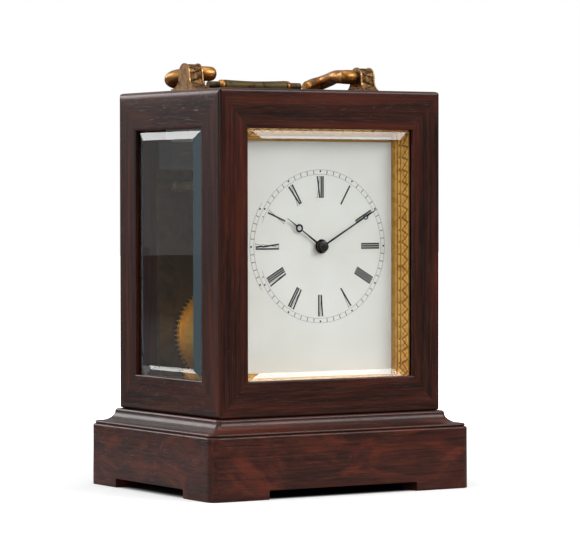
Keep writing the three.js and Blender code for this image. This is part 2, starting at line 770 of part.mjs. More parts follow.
// A moon hand pointing up along Z: a tapered blade, a ring near its end and a fine point
function handGeometry(length, ringAt, ringRadius, hubRadius, boreRadius) {
  const ringZ = length * ringAt;
  const blade = polygon([[-0.4, 0], [0.4, 0], [0.2, ringZ], [-0.2, ringZ]]);
  const point = polygon([[-0.34, ringZ], [0.34, ringZ], [0.07, length], [-0.07, length]]);
  const parts = [
    alongY(polygon(circlePoints(ringRadius, 16, 0, ringZ)), 0, HAND_THICKNESS),
    alongY(blade, 0, HAND_THICKNESS),
    alongY(point, 0, HAND_THICKNESS),
  ];
  const hub = alongY(polygon(circlePoints(hubRadius, 20)), 0, HAND_THICKNESS);
  const eye = alongY(polygon(circlePoints(ringRadius * 0.55, 12, 0, ringZ)), -1, 1);
  const bore = alongY(polygon(circlePoints(boreRadius, 16)), -1, 1);
  return cut(join(hub, ...parts), eye, bore);
}

function addDial() {
  const dial = group();
  piece(dial, 'dial_slip', slipGeometry(), gilt);
  const overlap = 1;
  const plate = polygon([
    [-dialHalf - overlap, dialBottom - overlap],
    [dialHalf + overlap, dialBottom - overlap],
    [dialHalf + overlap, dialTop + overlap],
    [-dialHalf - overlap, dialTop + overlap],
  ]);
  plate.holes.push(hole(DIAL_HOLE_RADIUS, 20, centre.x, centre.z));
  piece(dial, 'dial_plate', alongY(plate, dialFront, dialBack), enamel);

  const hands = group();
  hands.position.set(centre.x, dialFront, centre.z);
  const hourHand = handGeometry(HOUR_HAND_LENGTH, 0.65, 1.2, HOUR_HUB_RADIUS, HOUR_HAND_BORE_RADIUS);
  const minuteHand = handGeometry(
    MINUTE_HAND_LENGTH,
    0.79,
    0.8,
    MINUTE_HUB_RADIUS,
    CANNON_PIPE_RADIUS + 0.15,
  );
  const hourMesh = piece(hands, 'hour_hand', hourHand, blued, 0, -1.2, 0);
  hourMesh.rotation.y = THREE.MathUtils.degToRad(HOUR_HAND_ANGLE);
  const minuteMesh = piece(hands, 'minute_hand', minuteHand, blued, 0, -2, 0);
  minuteMesh.rotation.y = THREE.MathUtils.degToRad(MINUTE_HAND_ANGLE);
  const collet = turnedY([
    [CANNON_BORE_RADIUS, -2.9],
    [COLLET_RADIUS - 0.5, -2.9],
    [COLLET_RADIUS, -2.5],
    [COLLET_RADIUS, -2.1],
    [CANNON_BORE_RADIUS, -2.1],
    [CANNON_BORE_RADIUS, -2.9],
  ], 16);
  piece(hands, 'hand_collet', collet, steel);
}

// ---------------------------------------------------------------- wheels

// A toothed outline; its first tooth is centred on the angle given
function gearPoints(teeth, module, addendum, dedendum, rootShare, tipShare, first) {
  const pitch = 2 * Math.PI / teeth;
  const root = pitchRadius(module, teeth) - dedendum * module;
  const tip = pitchRadius(module, teeth) + addendum * module;
  const points = [];
  for (let i = 0; i < teeth; i += 1) {
    const middle = first + i * pitch;
    const flanks = [[root, -rootShare], [tip, -tipShare], [tip, tipShare], [root, rootShare]];
    for (const [radius, share] of flanks) {
      const angle = middle + share * pitch;
      points.push([radius * Math.cos(angle), radius * Math.sin(angle)]);
    }
  }
  return points;
}

const wheelPoints = (teeth, module, first) => gearPoints(teeth, module, 0.85, 1.1, 0.17, 0.08, first);
const leafPoints = (teeth, module, first) => gearPoints(teeth, module, 0.75, 1.15, 0.15, 0.08, first);

// Openings that leave arms between a wheel's hub and its rim
function crossings(shape, arms, inner, outer, armHalf) {
  for (let i = 0; i < arms; i += 1) {
    const from = 360 * i / arms;
    const to = from + 360 / arms;
    const nearTurn = THREE.MathUtils.radToDeg(Math.asin(armHalf / inner));
    const farTurn = THREE.MathUtils.radToDeg(Math.asin(armHalf / outer));
    const opening = [
      ...arcPoints(0, 0, inner, from + nearTurn, to - nearTurn, 3),
      ...arcPoints(0, 0, outer, to - farTurn, from + farTurn, 6),
    ];
    shape.holes.push(new THREE.Path(opening.map(([x, y]) => new THREE.Vector2(x, y))));
  }
}

// The angle of a follower's first tooth, so that it meshes with a wheel at rest
function meshedPhase(phase, teeth, direction, followerTeeth) {
  const share = (phase - direction) * teeth / (2 * Math.PI);
  return direction + Math.PI + (0.5 - share) * 2 * Math.PI / followerTeeth;
}

const directionOf = (from, to) => Math.atan2(to.z - from.z, to.x - from.x);

// A train wheel: a toothed brass disc with arms, on a steel arbor with a pinion cut into it
function trainWheel({ teeth, module, y, leaves, leafModule, leafPhase, pinionY, front, back, arms = 5 }) {
  const rim = pitchRadius(module, teeth) - 1.1 * module;
  const shape = polygon(wheelPoints(teeth, module, 0));
  crossings(shape, arms, 3.2, rim - 1.2, 0.45);
  const parts = [
    alongY(shape, y, y + WHEEL_THICKNESS),
    turnedY(arborProfile(front, back), 12),
    turnedY(rod(2, y - 0.6, y + WHEEL_THICKNESS + 0.6), 12),
  ];
  if (leaves) {
    parts.push(alongY(polygon(leafPoints(leaves, leafModule, leafPhase)), pinionY, pinionY + PINION_LENGTH));
  }
  return join(...parts);
}

// An arbor between the plates with a pivot at each end
function arborProfile(front, back) {
  const shoulder = RUNNING_GAP;
  return [
    [0, front],
    [PIVOT_RADIUS, front],
    [PIVOT_RADIUS, frontPlateBack + shoulder],
    [ARBOR_RADIUS, frontPlateBack + shoulder],
    [ARBOR_RADIUS, backPlateFront - shoulder],
    [PIVOT_RADIUS, backPlateFront - shoulder],
    [PIVOT_RADIUS, back],
    [0, back],
  ];
}

function plateGeometry(holes, y0, y1) {
  const shape = polygon([
    [-plateHalf, caseBottom],
    [plateHalf, caseBottom],
    [plateHalf, plateTop],
    [-plateHalf, plateTop],
  ]);
  for (const [at, radius] of holes) {
    shape.holes.push(hole(radius, 12, at.x, at.z));
  }
  return alongY(shape, y0, y1);
}

function addPlates() {
  const plates = group();
  const pivots = [intermediate, third, contrate].map((at) => [at, PIVOT_HOLE_RADIUS]);
  const barrelHole = [great, BARREL_ARBOR_RADIUS + 0.2];
  const centreHole = [centre, ARBOR_RADIUS + 0.2];
  const stud = turnedY(rod(0.8, frontPlateFront - 3.6, frontPlateFront + 1), 12);
  stud.translate(minuteWork.x, 0, minuteWork.z);
  const front = plateGeometry([...pivots, barrelHole, centreHole], frontPlateFront, frontPlateBack);
  const back = plateGeometry([...pivots, barrelHole, centreHole], backPlateFront, backPlateBack);
  piece(plates, 'front_plate', join(front, stud), brass);
  piece(plates, 'back_plate', back, brass);
  const length = backPlateFront - frontPlateBack;
  const pillar = turnedY([
    [0, 0],
    [PILLAR_RADIUS, 0],
    [PILLAR_RADIUS, 1.5],
    [PILLAR_RADIUS * 0.72, 3],
    [PILLAR_RADIUS * 0.72, length - 3],
    [PILLAR_RADIUS, length - 1.5],
    [PILLAR_RADIUS, length],
    [0, length],
  ], 12);
  const pillarX = plateHalf - PILLAR_SIDE_INSET;
  const levels = [['lower', caseBottom + PILLAR_END_INSET], ['upper', plateTop - PILLAR_END_INSET]];
  for (const [level, z] of levels) {
    piece(plates, `${level}_pillar_left`, pillar, brass, -pillarX, frontPlateBack, z);
    piece(plates, `${level}_pillar_right`, pillar, brass, pillarX, frontPlateBack, z);
  }
}

// A flat strip wound into a spiral, drawn about the origin
function spiralShape(inner, outer, thickness, turns, stepsPerTurn) {
  const steps = turns * stepsPerTurn;
  const at = (i, offset) => {
    const angle = 2 * Math.PI * i / stepsPerTurn;
    const radius = inner + (outer - inner) * i / steps + offset;
    return [radius * Math.cos(angle), radius * Math.sin(angle)];
  };
  const count = Array.from({ length: steps + 1 }, (_, i) => i);
  return polygon([
    ...count.map((i) => at(i, thickness / 2)),
    ...count.reverse().map((i) => at(i, -thickness / 2)),
  ]);
}

function addBarrel() {
  const barrel = group();
  barrel.position.set(great.x, 0, great.z);
  const drumBack = greatLayer;
  const drumFront = drumBack - BARREL_LENGTH;
  const bore = BARREL_ARBOR_RADIUS + 0.25;
  const drum = turnedY([
    [bore, drumFront],
    [BARREL_RADIUS, drumFront],
    [BARREL_RADIUS, drumBack + 0.2],
    [BARREL_RADIUS - BARREL_WALL, drumBack + 0.2],
    [BARREL_RADIUS - BARREL_WALL, drumFront + BARREL_WALL],
    [bore, drumFront + BARREL_WALL],
    [bore, drumFront],
  ], 32);
  const wheel = polygon(wheelPoints(GREAT_TEETH, GREAT_MODULE, 0));
  wheel.holes.push(hole(bore, 16));
  const toothed = alongY(wheel, drumBack, drumBack + WHEEL_THICKNESS);
  piece(barrel, 'barrel', join(drum, toothed), brass);

  const coil = spiralShape(
    SPRING_INNER_RADIUS,
    BARREL_RADIUS - BARREL_WALL - SPRING_THICKNESS,
    SPRING_THICKNESS,
    SPRING_TURNS,
    14,
  );
  const spring = alongY(coil, drumFront + BARREL_WALL + 0.4, drumBack - 0.4);
  piece(barrel, 'mainspring', spring, steel);

  const squareHalf = WINDING_SQUARE / 2;
  const end = backPlateBack + WINDING_REACH;
  const shaft = turnedY(rod(BARREL_ARBOR_RADIUS, frontPlateFront + 0.5, backPlateBack + 0.2));
  const square = block(-squareHalf, squareHalf, backPlateBack - 1, end, -squareHalf, squareHalf);
  const coreLength = drumBack - drumFront - 2 * BARREL_WALL;
  const core = turnedY(rod(3.2, drumFront + 1.5, drumFront + coreLength));
  piece(barrel, 'barrel_arbor', join(shaft, square, core), steel);

  const saw = [];
  for (let i = 0; i < RATCHET_TEETH; i += 1) {
    const from = 2 * Math.PI * i / RATCHET_TEETH;
    saw.push([RATCHET_RADIUS * Math.cos(from), RATCHET_RADIUS * Math.sin(from)]);
    saw.push([(RATCHET_RADIUS - 1) * Math.cos(from), (RATCHET_RADIUS - 1) * Math.sin(from)]);
  }
  const ratchet = polygon(saw);
  const socket = squareHalf + 0.1;
  ratchet.holes.push(new THREE.Path([
    new THREE.Vector2(-socket, -socket),
    new THREE.Vector2(socket, -socket),
    new THREE.Vector2(socket, socket),
    new THREE.Vector2(-socket, socket),
  ]));
  const ratchetFront = backPlateBack + 0.4;
  const ratchetBody = alongY(ratchet, ratchetFront, ratchetFront + RATCHET_THICKNESS);
  piece(barrel, 'ratchet_wheel', ratchetBody, steel);

  const click = polygon([
    ...arcPoints(0, 0, CLICK_BOSS, 60, 290, 8),
    [CLICK_LENGTH, CLICK_GAP - CLICK_RISE],
    [CLICK_LENGTH - 0.2, CLICK_GAP - CLICK_RISE + 0.9],
  ]);
  const clickBody = alongY(click, ratchetFront, ratchetFront + RATCHET_THICKNESS);
  piece(barrel, 'click', clickBody, steel, -CLICK_LENGTH, 0, RATCHET_RADIUS + CLICK_RISE);
}

function addTrain() {
  const train = group();
  const front = frontPlateFront;
  const back = backPlateBack;
  const toIntermediate = directionOf(great, intermediate);
  const toCentre = directionOf(intermediate, centre);
  const toThird = directionOf(centre, third);
  const toContrate = directionOf(third, contrate);
  const intermediatePhase = meshedPhase(0, GREAT_TEETH, toIntermediate, INTERMEDIATE_LEAVES);
  const centrePhase = meshedPhase(0, INTERMEDIATE_TEETH, toCentre, CENTRE_LEAVES);
  const thirdPhase = meshedPhase(0, CENTRE_TEETH, toThird, THIRD_LEAVES);
  const contratePhase = meshedPhase(0, THIRD_TEETH, toContrate, CONTRATE_LEAVES);
  const lead = (PINION_LENGTH - WHEEL_THICKNESS) / 2;

  const intermediateBody = trainWheel({
    teeth: INTERMEDIATE_TEETH,
    module: INTERMEDIATE_MODULE,
    y: frontLayer,
    leaves: INTERMEDIATE_LEAVES,
    leafModule: GREAT_MODULE,
    leafPhase: intermediatePhase,
    pinionY: backPlateFront - RUNNING_GAP - PINION_LENGTH - 0.2,
    front,
    back,
  });
  piece(train, 'intermediate_wheel', intermediateBody, brass, intermediate.x, 0, intermediate.z);

  const handEnd = dialFront - 3;
  const settingEnd = backPlateBack + 3.6;
  const centreWheel = trainWheel({
    teeth: CENTRE_TEETH,
    module: CENTRE_MODULE,
    y: centreLayer,
    leaves: CENTRE_LEAVES,
    leafModule: INTERMEDIATE_MODULE,
    leafPhase: centrePhase,
    pinionY: frontLayer - lead,
    front,
    back,
  });
  const through = turnedY([
    [0, handEnd],
    [HAND_ARBOR_RADIUS, handEnd],
    [HAND_ARBOR_RADIUS, frontPlateFront - 0.2],
    [ARBOR_RADIUS, frontPlateFront - 0.2],
    [ARBOR_RADIUS, settingEnd],
    [0, settingEnd],
  ], 12);
  piece(train, 'centre_wheel', join(centreWheel, through), brass, centre.x, 0, centre.z);

  const thirdBody = trainWheel({
    teeth: THIRD_TEETH,
    module: THIRD_MODULE,
    y: frontLayer,
    leaves: THIRD_LEAVES,
    leafModule: CENTRE_MODULE,
    leafPhase: thirdPhase,
    pinionY: centreLayer - lead,
    front,
    back,
    arms: 4,
  });
  piece(train, 'third_wheel', thirdBody, brass, third.x, 0, third.z);

  const slots = [];
  const slotHalf = Math.PI * contrateModule * 0.34;
  for (let i = 0; i < CONTRATE_TEETH / 2; i += 1) {
    const reach = CONTRATE_RADIUS + 1;
    const slot = block(-reach, reach, contrateFront + 0.9, contrateBack + 1, -slotHalf, slotHalf);
    slots.push(slot.rotateY(2 * Math.PI * (i + 0.5) / CONTRATE_TEETH));
  }
  const rimProfile = [
    [CONTRATE_RADIUS - 0.7, contrateFront],
    [CONTRATE_RADIUS, contrateFront],
    [CONTRATE_RADIUS, contrateBack],
    [CONTRATE_RADIUS - 0.7, contrateBack],
    [CONTRATE_RADIUS - 0.7, contrateFront],
  ];
  const rim = cut(turnedY(rimProfile, 60), ...slots);
  const disc = polygon(circlePoints(CONTRATE_RADIUS - 0.3, 40));
  crossings(disc, 4, 2.4, CONTRATE_RADIUS - 1.2, 0.4);
  const contrateLeaves = polygon(leafPoints(CONTRATE_LEAVES, THIRD_MODULE, contratePhase));
  const contrateBody = join(
    rim,
    alongY(disc, contrateFront, contrateFront + 0.7),
    turnedY(arborProfile(front, back), 12),
    alongY(contrateLeaves, frontLayer - lead, frontLayer - lead + PINION_LENGTH),
  );
  piece(train, 'contrate_wheel', contrateBody, brass, contrate.x, 0, contrate.z);
}

// ---------------------------------------------------------------- motion work

function addMotionWork() {
  const work = group();
  const firstModule = 2 * MOTION_CENTRES / (CANNON_LEAVES + MINUTE_WHEEL_TEETH);
  const secondModule = 2 * MOTION_CENTRES / (MINUTE_WHEEL_LEAVES + HOUR_WHEEL_TEETH);
  const rear = frontPlateFront - 0.4;
  const middle = rear - MOTION_WHEEL_THICKNESS;
  const front = middle - 0.3 - MOTION_WHEEL_THICKNESS;
  const toWork = directionOf(centre, minuteWork);
  const toCentre = directionOf(minuteWork, centre);

  const cannonPhase = meshedPhase(0, MINUTE_WHEEL_TEETH, toCentre, CANNON_LEAVES);
  const cannonLeaves = polygon(leafPoints(CANNON_LEAVES, firstModule, cannonPhase));
  const cannonEnd = dialFront - 2.05;
  const pipe = turnedY(rod(CANNON_PIPE_RADIUS, cannonEnd, middle + 0.2));
  const bore = turnedY(rod(CANNON_BORE_RADIUS, cannonEnd - 1, rear + 1));
  const cannon = cut(join(alongY(cannonLeaves, middle, rear), pipe), bore);
  piece(work, 'cannon_pinion', cannon, steel, centre.x, 0, centre.z);

  const minutePhase = meshedPhase(0, HOUR_WHEEL_TEETH, toWork, MINUTE_WHEEL_LEAVES);
  const minuteShape = polygon(wheelPoints(MINUTE_WHEEL_TEETH, firstModule, 0));
  crossings(minuteShape, 4, 2.8, 5.2, 0.45);
  const minuteLeaves = polygon(leafPoints(MINUTE_WHEEL_LEAVES, secondModule, minutePhase));
  const minuteWheel = cut(
    join(alongY(minuteShape, middle, rear), alongY(minuteLeaves, front, middle + 0.1)),
    turnedY(rod(1, front - 1, rear + 1)),
  );
  piece(work, 'minute_wheel', minuteWheel, brass, minuteWork.x, 0, minuteWork.z);

  const hourShape = polygon(wheelPoints(HOUR_WHEEL_TEETH, secondModule, 0));
  crossings(hourShape, 4, 3.4, 5.8, 0.45);
  const hourPipe = turnedY(rod(HOUR_PIPE_RADIUS, dialFront - 1.3, front + MOTION_WHEEL_THICKNESS / 2));
  const hourBore = turnedY(rod(HOUR_BORE_RADIUS, dialFront - 3, rear));
  const hourWheel = cut(
    join(alongY(hourShape, front, front + MOTION_WHEEL_THICKNESS), hourPipe),
    hourBore,
  );
  piece(work, 'hour_wheel', hourWheel, brass, centre.x, 0, centre.z);
}

// ---------------------------------------------------------------- platform escapement

function addEscapement() {
  const platform = group();
  platform.position.set(contrate.x, 0, platformTop);
  const half = PLATFORM_WIDTH / 2;
  const plan = polygon([
    [-half, frontPlateFront],
    [half, frontPlateFront],
    [half, backPlateBack],
    [-half, backPlateBack],
  ]);
  plan.holes.push(hole(escapeTip + 0.6, 12, 0, escapeY));
  piece(platform, 'platform', alongZ(plan, -PLATFORM_THICKNESS, 0), brass);

  // The escape wheel's pinion hangs below the platform, into the contrate wheel's teeth
  const escape = [];
  for (let i = 0; i < ESCAPE_TEETH; i += 1) {
    const from = 2 * Math.PI * i / ESCAPE_TEETH;
    const pitch = 2 * Math.PI / ESCAPE_TEETH;
    for (const [radius, turn] of [[3.1, 0], [ESCAPE_RADIUS, 0.22], [ESCAPE_RADIUS, 0.34], [3.1, 0.3]]) {
      const angle = from + turn * pitch;
      escape.push([radius * Math.cos(angle), radius * Math.sin(angle)]);
    }
  }
  const escapeShape = polygon(escape);
  crossings(escapeShape, 4, 1.2, 2.5, 0.3);
  const leafStart = -PLATFORM_THICKNESS - PLATFORM_CLEARANCE - 1.2;
  const leafAngle = -Math.PI / 2 + Math.PI / ESCAPE_LEAVES;
  const leaves = polygon(leafPoints(ESCAPE_LEAVES, contrateModule, leafAngle));
  const escapeWheel = join(
    alongZ(escapeShape, 0.9, 1.4),
    turnedZ(rod(0.45, leafStart - 0.6, 3.2), 10),
    turnedZ(rod(1.5, 0.8, 1.5), 10),
    alongZ(leaves, leafStart, leafStart + 2),
  );
  piece(platform, 'escape_wheel', escapeWheel, steel, 0, escapeY, 0);

  // The lever: two pallet arms that stay clear of the teeth, and a forked tail
  const palletReach = palletDistance * Math.sin(Math.PI / 6) + PALLET_GAP;
  const palletTip = PALLET_GAP - palletReach / Math.tan(Math.PI / 3);
  const lever = polygon([
    [-palletReach - 0.55, palletTip],
    [-palletReach + 0.1, palletTip + 0.1],
    [-palletReach + 0.5, -0.2],
    [-0.7, -0.55],
    [0.7, -0.55],
    [palletReach - 0.5, -0.2],
    [palletReach - 0.1, palletTip + 0.1],
    [palletReach + 0.55, palletTip],
    [palletReach + 0.2, 0.35],
    [0.6, 0.7],
    [0.35, BALANCE_DISTANCE - 3],
    [0.9, BALANCE_DISTANCE - 1.9],
    [0.45, BALANCE_DISTANCE - 1.9],
    [0, BALANCE_DISTANCE - 2.6],
    [-0.45, BALANCE_DISTANCE - 1.9],
    [-0.9, BALANCE_DISTANCE - 1.9],
    [-0.35, BALANCE_DISTANCE - 3],
    [-0.6, 0.7],
    [-palletReach - 0.2, 0.35],
  ]);
  const fork = join(alongZ(lever, 0.95, 1.45), turnedZ(rod(0.4, 0.1, 2.1), 10));
  piece(platform, 'pallet_fork', fork, steel, 0, palletY, 0);

  const bridgeBottom = 2.2;
  const footFront = escapeY - ESCAPE_RADIUS - 4.4;
  const footBack = escapeY - ESCAPE_RADIUS - 0.7;
  const bridge = polygon([
    [-2.6, footFront],
    [2.6, footFront],
    [2.6, footBack],
    [1.5, palletY + 1.2],
    [-1.5, palletY + 1.2],
    [-2.6, footBack],
  ]);
  bridge.holes.push(hole(0.65, 10, 0, escapeY));
  const foot = block(-2.6, 2.6, footFront, footBack, 0, bridgeBottom + 0.2);
  const bridgeBody = join(alongZ(bridge, bridgeBottom, bridgeBottom + 0.8), foot);
  piece(platform, 'escape_bridge', bridgeBody, brass);

  const rimBottom = 3.3;
  const ring = polygon(circlePoints(BALANCE_RADIUS, 40));
  crossings(ring, 3, 1.6, BALANCE_RADIUS - 1, 0.4);
  const staffTop = rimBottom + BALANCE_THICKNESS + 3.2;
  const balance = join(
    alongZ(ring, rimBottom, rimBottom + BALANCE_THICKNESS),
    turnedZ(rod(0.5, 0.1, staffTop), 10),
    turnedZ(rod(1.5, 0.9, 1.5), 12),
  );
  piece(platform, 'balance_wheel', balance, gilt, 0, balanceY, 0);

  const springBottom = rimBottom + BALANCE_THICKNESS + 0.5;
  const hairspring = spiralShape(1, BALANCE_SPRING_RADIUS, 0.14, 4, 14);
  const springBody = alongZ(hairspring, springBottom, springBottom + BALANCE_SPRING_HEIGHT);
  piece(platform, 'balance_spring', springBody, blued, 0, balanceY, 0);

  const armBottom = staffTop - COCK_THICKNESS;
  const cockFoot = balanceY + BALANCE_RADIUS + 1.2;
  const cockPlan = polygon([
    [-3.4, backPlateBack - 0.4],
    [-3.4, cockFoot],
    [-1.6, balanceY + 1],
    ...arcPoints(0, balanceY, 1.8, 150, 30, 4).map(([x, y]) => [x, 2 * balanceY - y]),
    [1.6, balanceY + 1],
    [3.4, cockFoot],
    [3.4, backPlateBack - 0.4],
  ]);
  cockPlan.holes.push(hole(0.7, 10, 0, balanceY));
  const cockBody = join(
    alongZ(cockPlan, armBottom, armBottom + COCK_THICKNESS),
    block(-3.4, 3.4, cockFoot, backPlateBack - 0.4, 0, armBottom + 0.5),
  );
  piece(platform, 'balance_cock', cockBody, brass);
}

addPlinth();
addCase();
addDoor();
addHandle();
addDial();
addPlates();
addBarrel();
addTrain();
addMotionWork();
addEscapement();

export default clock;
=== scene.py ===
"""The looks of a wooden carriage clock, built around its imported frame.

Lengths in this file are millimetres until a mesh is made, when they become metres.
X runs to the right seen from the dial, Y to the back door and Z up.
"""

import logging
import math
from dataclasses import dataclass
from enum import Enum
from typing import Any, Callable, Iterable, Sequence

import bmesh
import bpy
import numpy as np
from mathutils import Matrix, Vector


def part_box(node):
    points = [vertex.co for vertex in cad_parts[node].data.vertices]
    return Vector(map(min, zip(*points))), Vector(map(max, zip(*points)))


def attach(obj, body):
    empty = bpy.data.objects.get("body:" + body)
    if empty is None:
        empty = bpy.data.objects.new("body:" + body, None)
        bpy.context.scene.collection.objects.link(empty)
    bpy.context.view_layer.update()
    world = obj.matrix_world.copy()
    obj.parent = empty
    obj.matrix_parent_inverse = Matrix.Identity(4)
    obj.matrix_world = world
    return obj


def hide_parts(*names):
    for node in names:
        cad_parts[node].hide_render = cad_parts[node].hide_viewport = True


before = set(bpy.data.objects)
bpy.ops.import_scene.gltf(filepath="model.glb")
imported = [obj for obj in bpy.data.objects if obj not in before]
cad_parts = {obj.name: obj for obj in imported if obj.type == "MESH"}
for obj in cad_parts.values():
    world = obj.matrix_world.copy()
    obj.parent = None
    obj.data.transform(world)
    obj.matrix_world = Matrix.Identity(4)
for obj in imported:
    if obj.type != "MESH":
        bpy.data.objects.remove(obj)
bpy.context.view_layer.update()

MM = 0.001
DOUBLED = 2e-6
log = logging.getLogger("carriage_clock")

Array = np.ndarray
Colour = tuple[float, float, float]


class Grain(Enum):
    """The direction that the wood's fibres run in."""

    ACROSS = 0
    DEEP = 1
    UPRIGHT = 2


class Side(Enum):
    """The four walls of the case and plinth, numbered by quarter turns from the front."""

    FRONT = 0
    RIGHT = 1
    BACK = 2
    LEFT = 3


# ------------------------------------------------------------------ shader maths


class Value:
    """An output socket on which Python's arithmetic adds Math nodes."""

    def __init__(self, shader: "Shader", socket: bpy.types.NodeSocket) -> None:
        """Keeps the shader that the socket belongs to, and the socket."""
        self.shader = shader
        self.socket = socket

    def __add__(self, other: Any) -> "Value":
        """Sum."""
        return self.shader.maths("ADD", self, other)

    __radd__ = __add__

    def __sub__(self, other: Any) -> "Value":
        """Difference."""
        return self.shader.maths("SUBTRACT", self, other)

    def __rsub__(self, other: Any) -> "Value":
        """Difference from a number."""
        return self.shader.maths("SUBTRACT", other, self)

    def __mul__(self, other: Any) -> "Value":
        """Product."""
        return self.shader.maths("MULTIPLY", self, other)

    __rmul__ = __mul__

    def clamped(self) -> "Value":
        """Kept between nothing and one."""
        return self.shader.node("ShaderNodeClamp", {}, {"Value": self})


class Shader:
    """The node tree of one material or world, filled from Python."""

    def __init__(self, owner: bpy.types.Material | bpy.types.World) -> None:
        """Empties the tree.

        Args:
            owner: a new material or world.
        """
        self.owner = owner
        owner.use_nodes = True
        self.tree = owner.node_tree
        self.tree.nodes.clear()

    @classmethod
    def material(cls, name: str) -> "Shader":
        """The tree of a new material."""
        return cls(bpy.data.materials.new(name))

    def node(
        self,
        kind: str,
        settings: dict[str, Any],
        inputs: dict[Any, Any],
        output: Any = 0,
    ) -> Value:
        """Adds a node.

        Args:
            kind: the node's type.
            settings: its properties, set first; "stops" are a ramp's places and colours.
            inputs: values or links by socket name or number.
            output: the name or number of the socket handed back.

        Returns:
            The chosen output.
        """
        made = self.tree.nodes.new(kind)
        for key, value in settings.items():
            if key == "stops":
                self._stops(made.color_ramp, value)
            else:
                setattr(made, key, value)
        for key, value in inputs.items():
            self._feed(made.inputs[key], value)
        return Value(self, made.outputs[output])

    def _stops(self, ramp: bpy.types.ColorRamp, stops: Sequence[tuple[float, Colour]]) -> None:
        """Sets a ramp's places and colours.

        Args:
            ramp: the ramp.
            stops: each stop's place and colour.
        """
        while len(ramp.elements) < len(stops):
            ramp.elements.new(1.0)
        for element, (place, colour) in zip(ramp.elements, stops):
            element.position = place
            element.color = (*colour, 1.0)

    def _feed(self, socket: bpy.types.NodeSocket, value: Any) -> None:
        """Links an output, or sets a number, vector or colour.

        Args:
            socket: an input.
            value: what it is given.
        """
        if isinstance(value, Value):
            self.tree.links.new(value.socket, socket)
        elif socket.type == "RGBA" and len(value) == 3:
            socket.default_value = (*value, 1.0)
        else:
            socket.default_value = value

    def maths(self, operation: str, first: Any, second: Any) -> Value:
        """A Math node of two values."""
        return self.node("ShaderNodeMath", {"operation": operation}, {0: first, 1: second})

    def mix(self, factor: Any, first: Any, second: Any) -> Value:
        """A colour between two others."""
        settings = {"data_type": "RGBA"}
        return self.node("ShaderNodeMix", settings, {0: factor, 6: first, 7: second}, 2)

    def placed(self, scale: Sequence[float], shift: Sequence[float] = (0, 0, 0)) -> Value:
        """The object's own coordinates, scaled for each axis and shifted.

        Args:
            scale: one for each axis.
            shift: one for each axis.

        Returns:
            The coordinates.
        """
        own = self.node("ShaderNodeTexCoord", {}, {}, "Object")
        inputs = {"Vector": own, "Location": tuple(shift), "Scale": tuple(scale)}
        return self.node("ShaderNodeMapping", {}, inputs)

    def parts(self, vector: Value) -> tuple[Value, ...]:
        """A vector's three numbers."""
        return tuple(self.node("ShaderNodeSeparateXYZ", {}, {0: vector}, axis) for axis in "XYZ")

    def noise(self, at: Value, detail: float, rough: float, bend: float = 0.0) -> Value:
        """Soft random values about one half.

        Args:
            at: coordinates, already scaled.
            detail: the number of finer layers.
            rough: how strong each finer layer is.
            bend: how far it is warped.

        Returns:
            The values.
        """
        inputs = {
            "Vector": at, "Scale": 1.0, "Detail": detail, "Roughness": rough, "Distortion": bend,
        }
        return self.node("ShaderNodeTexNoise", {}, inputs)

    def step(self, value: Value, low: float, high: float, first: float = 0.0,
             last: float = 1.0) -> Value:
        """A smooth change from first, where the value is low, to last, where it is high.

        Args:
            value: what is looked at.
            low, high: the values that it changes between.
            first, last: the results at each.

        Returns:
            The changed value.
        """
        settings = {"interpolation_type": "SMOOTHSTEP"}
        inputs = {
            "Value": value, "From Min": low, "From Max": high, "To Min": first, "To Max": last,
        }
        return self.node("ShaderNodeMapRange", settings, inputs)

    def bump(self, height: Value, distance: float, strength: float = 1.0) -> Value:
        """A normal that follows a height in metres times the distance."""
        inputs = {"Height": height, "Distance": distance, "Strength": strength}
        return self.node("ShaderNodeBump", {}, inputs, "Normal")

    def surface(self, inputs: dict[str, Any]) -> Value:
        """The main shader."""
        return self.node("ShaderNodeBsdfPrincipled", {}, inputs)

    def done(self, surface: Value) -> Any:
        """Ends the tree with its surface and hands its material or world back.

        Args:
            surface: the shader that ends the tree.

        Returns:
            The material or world.
        """
        world = isinstance(self.owner, bpy.types.World)
        end = self.tree.nodes.new("ShaderNodeOutputWorld" if world else "ShaderNodeOutputMaterial")
        self.tree.links.new(surface.socket, end.inputs["Surface"])
        return self.owner


def shade(red: int, green: int, blue: int) -> Colour:
    """A colour given as it shows on a screen, turned into linear light.

    Args:
        red, green, blue: from 0 to 255.

    Returns:
        The linear colour.
    """
    parts = np.array([red, green, blue]) / 255
    linear = np.where(parts <= 0.04045, parts / 12.92, ((parts + 0.055) / 1.055) ** 2.4)
    return tuple(float(part) for part in linear)


# ------------------------------------------------------------------ finishes


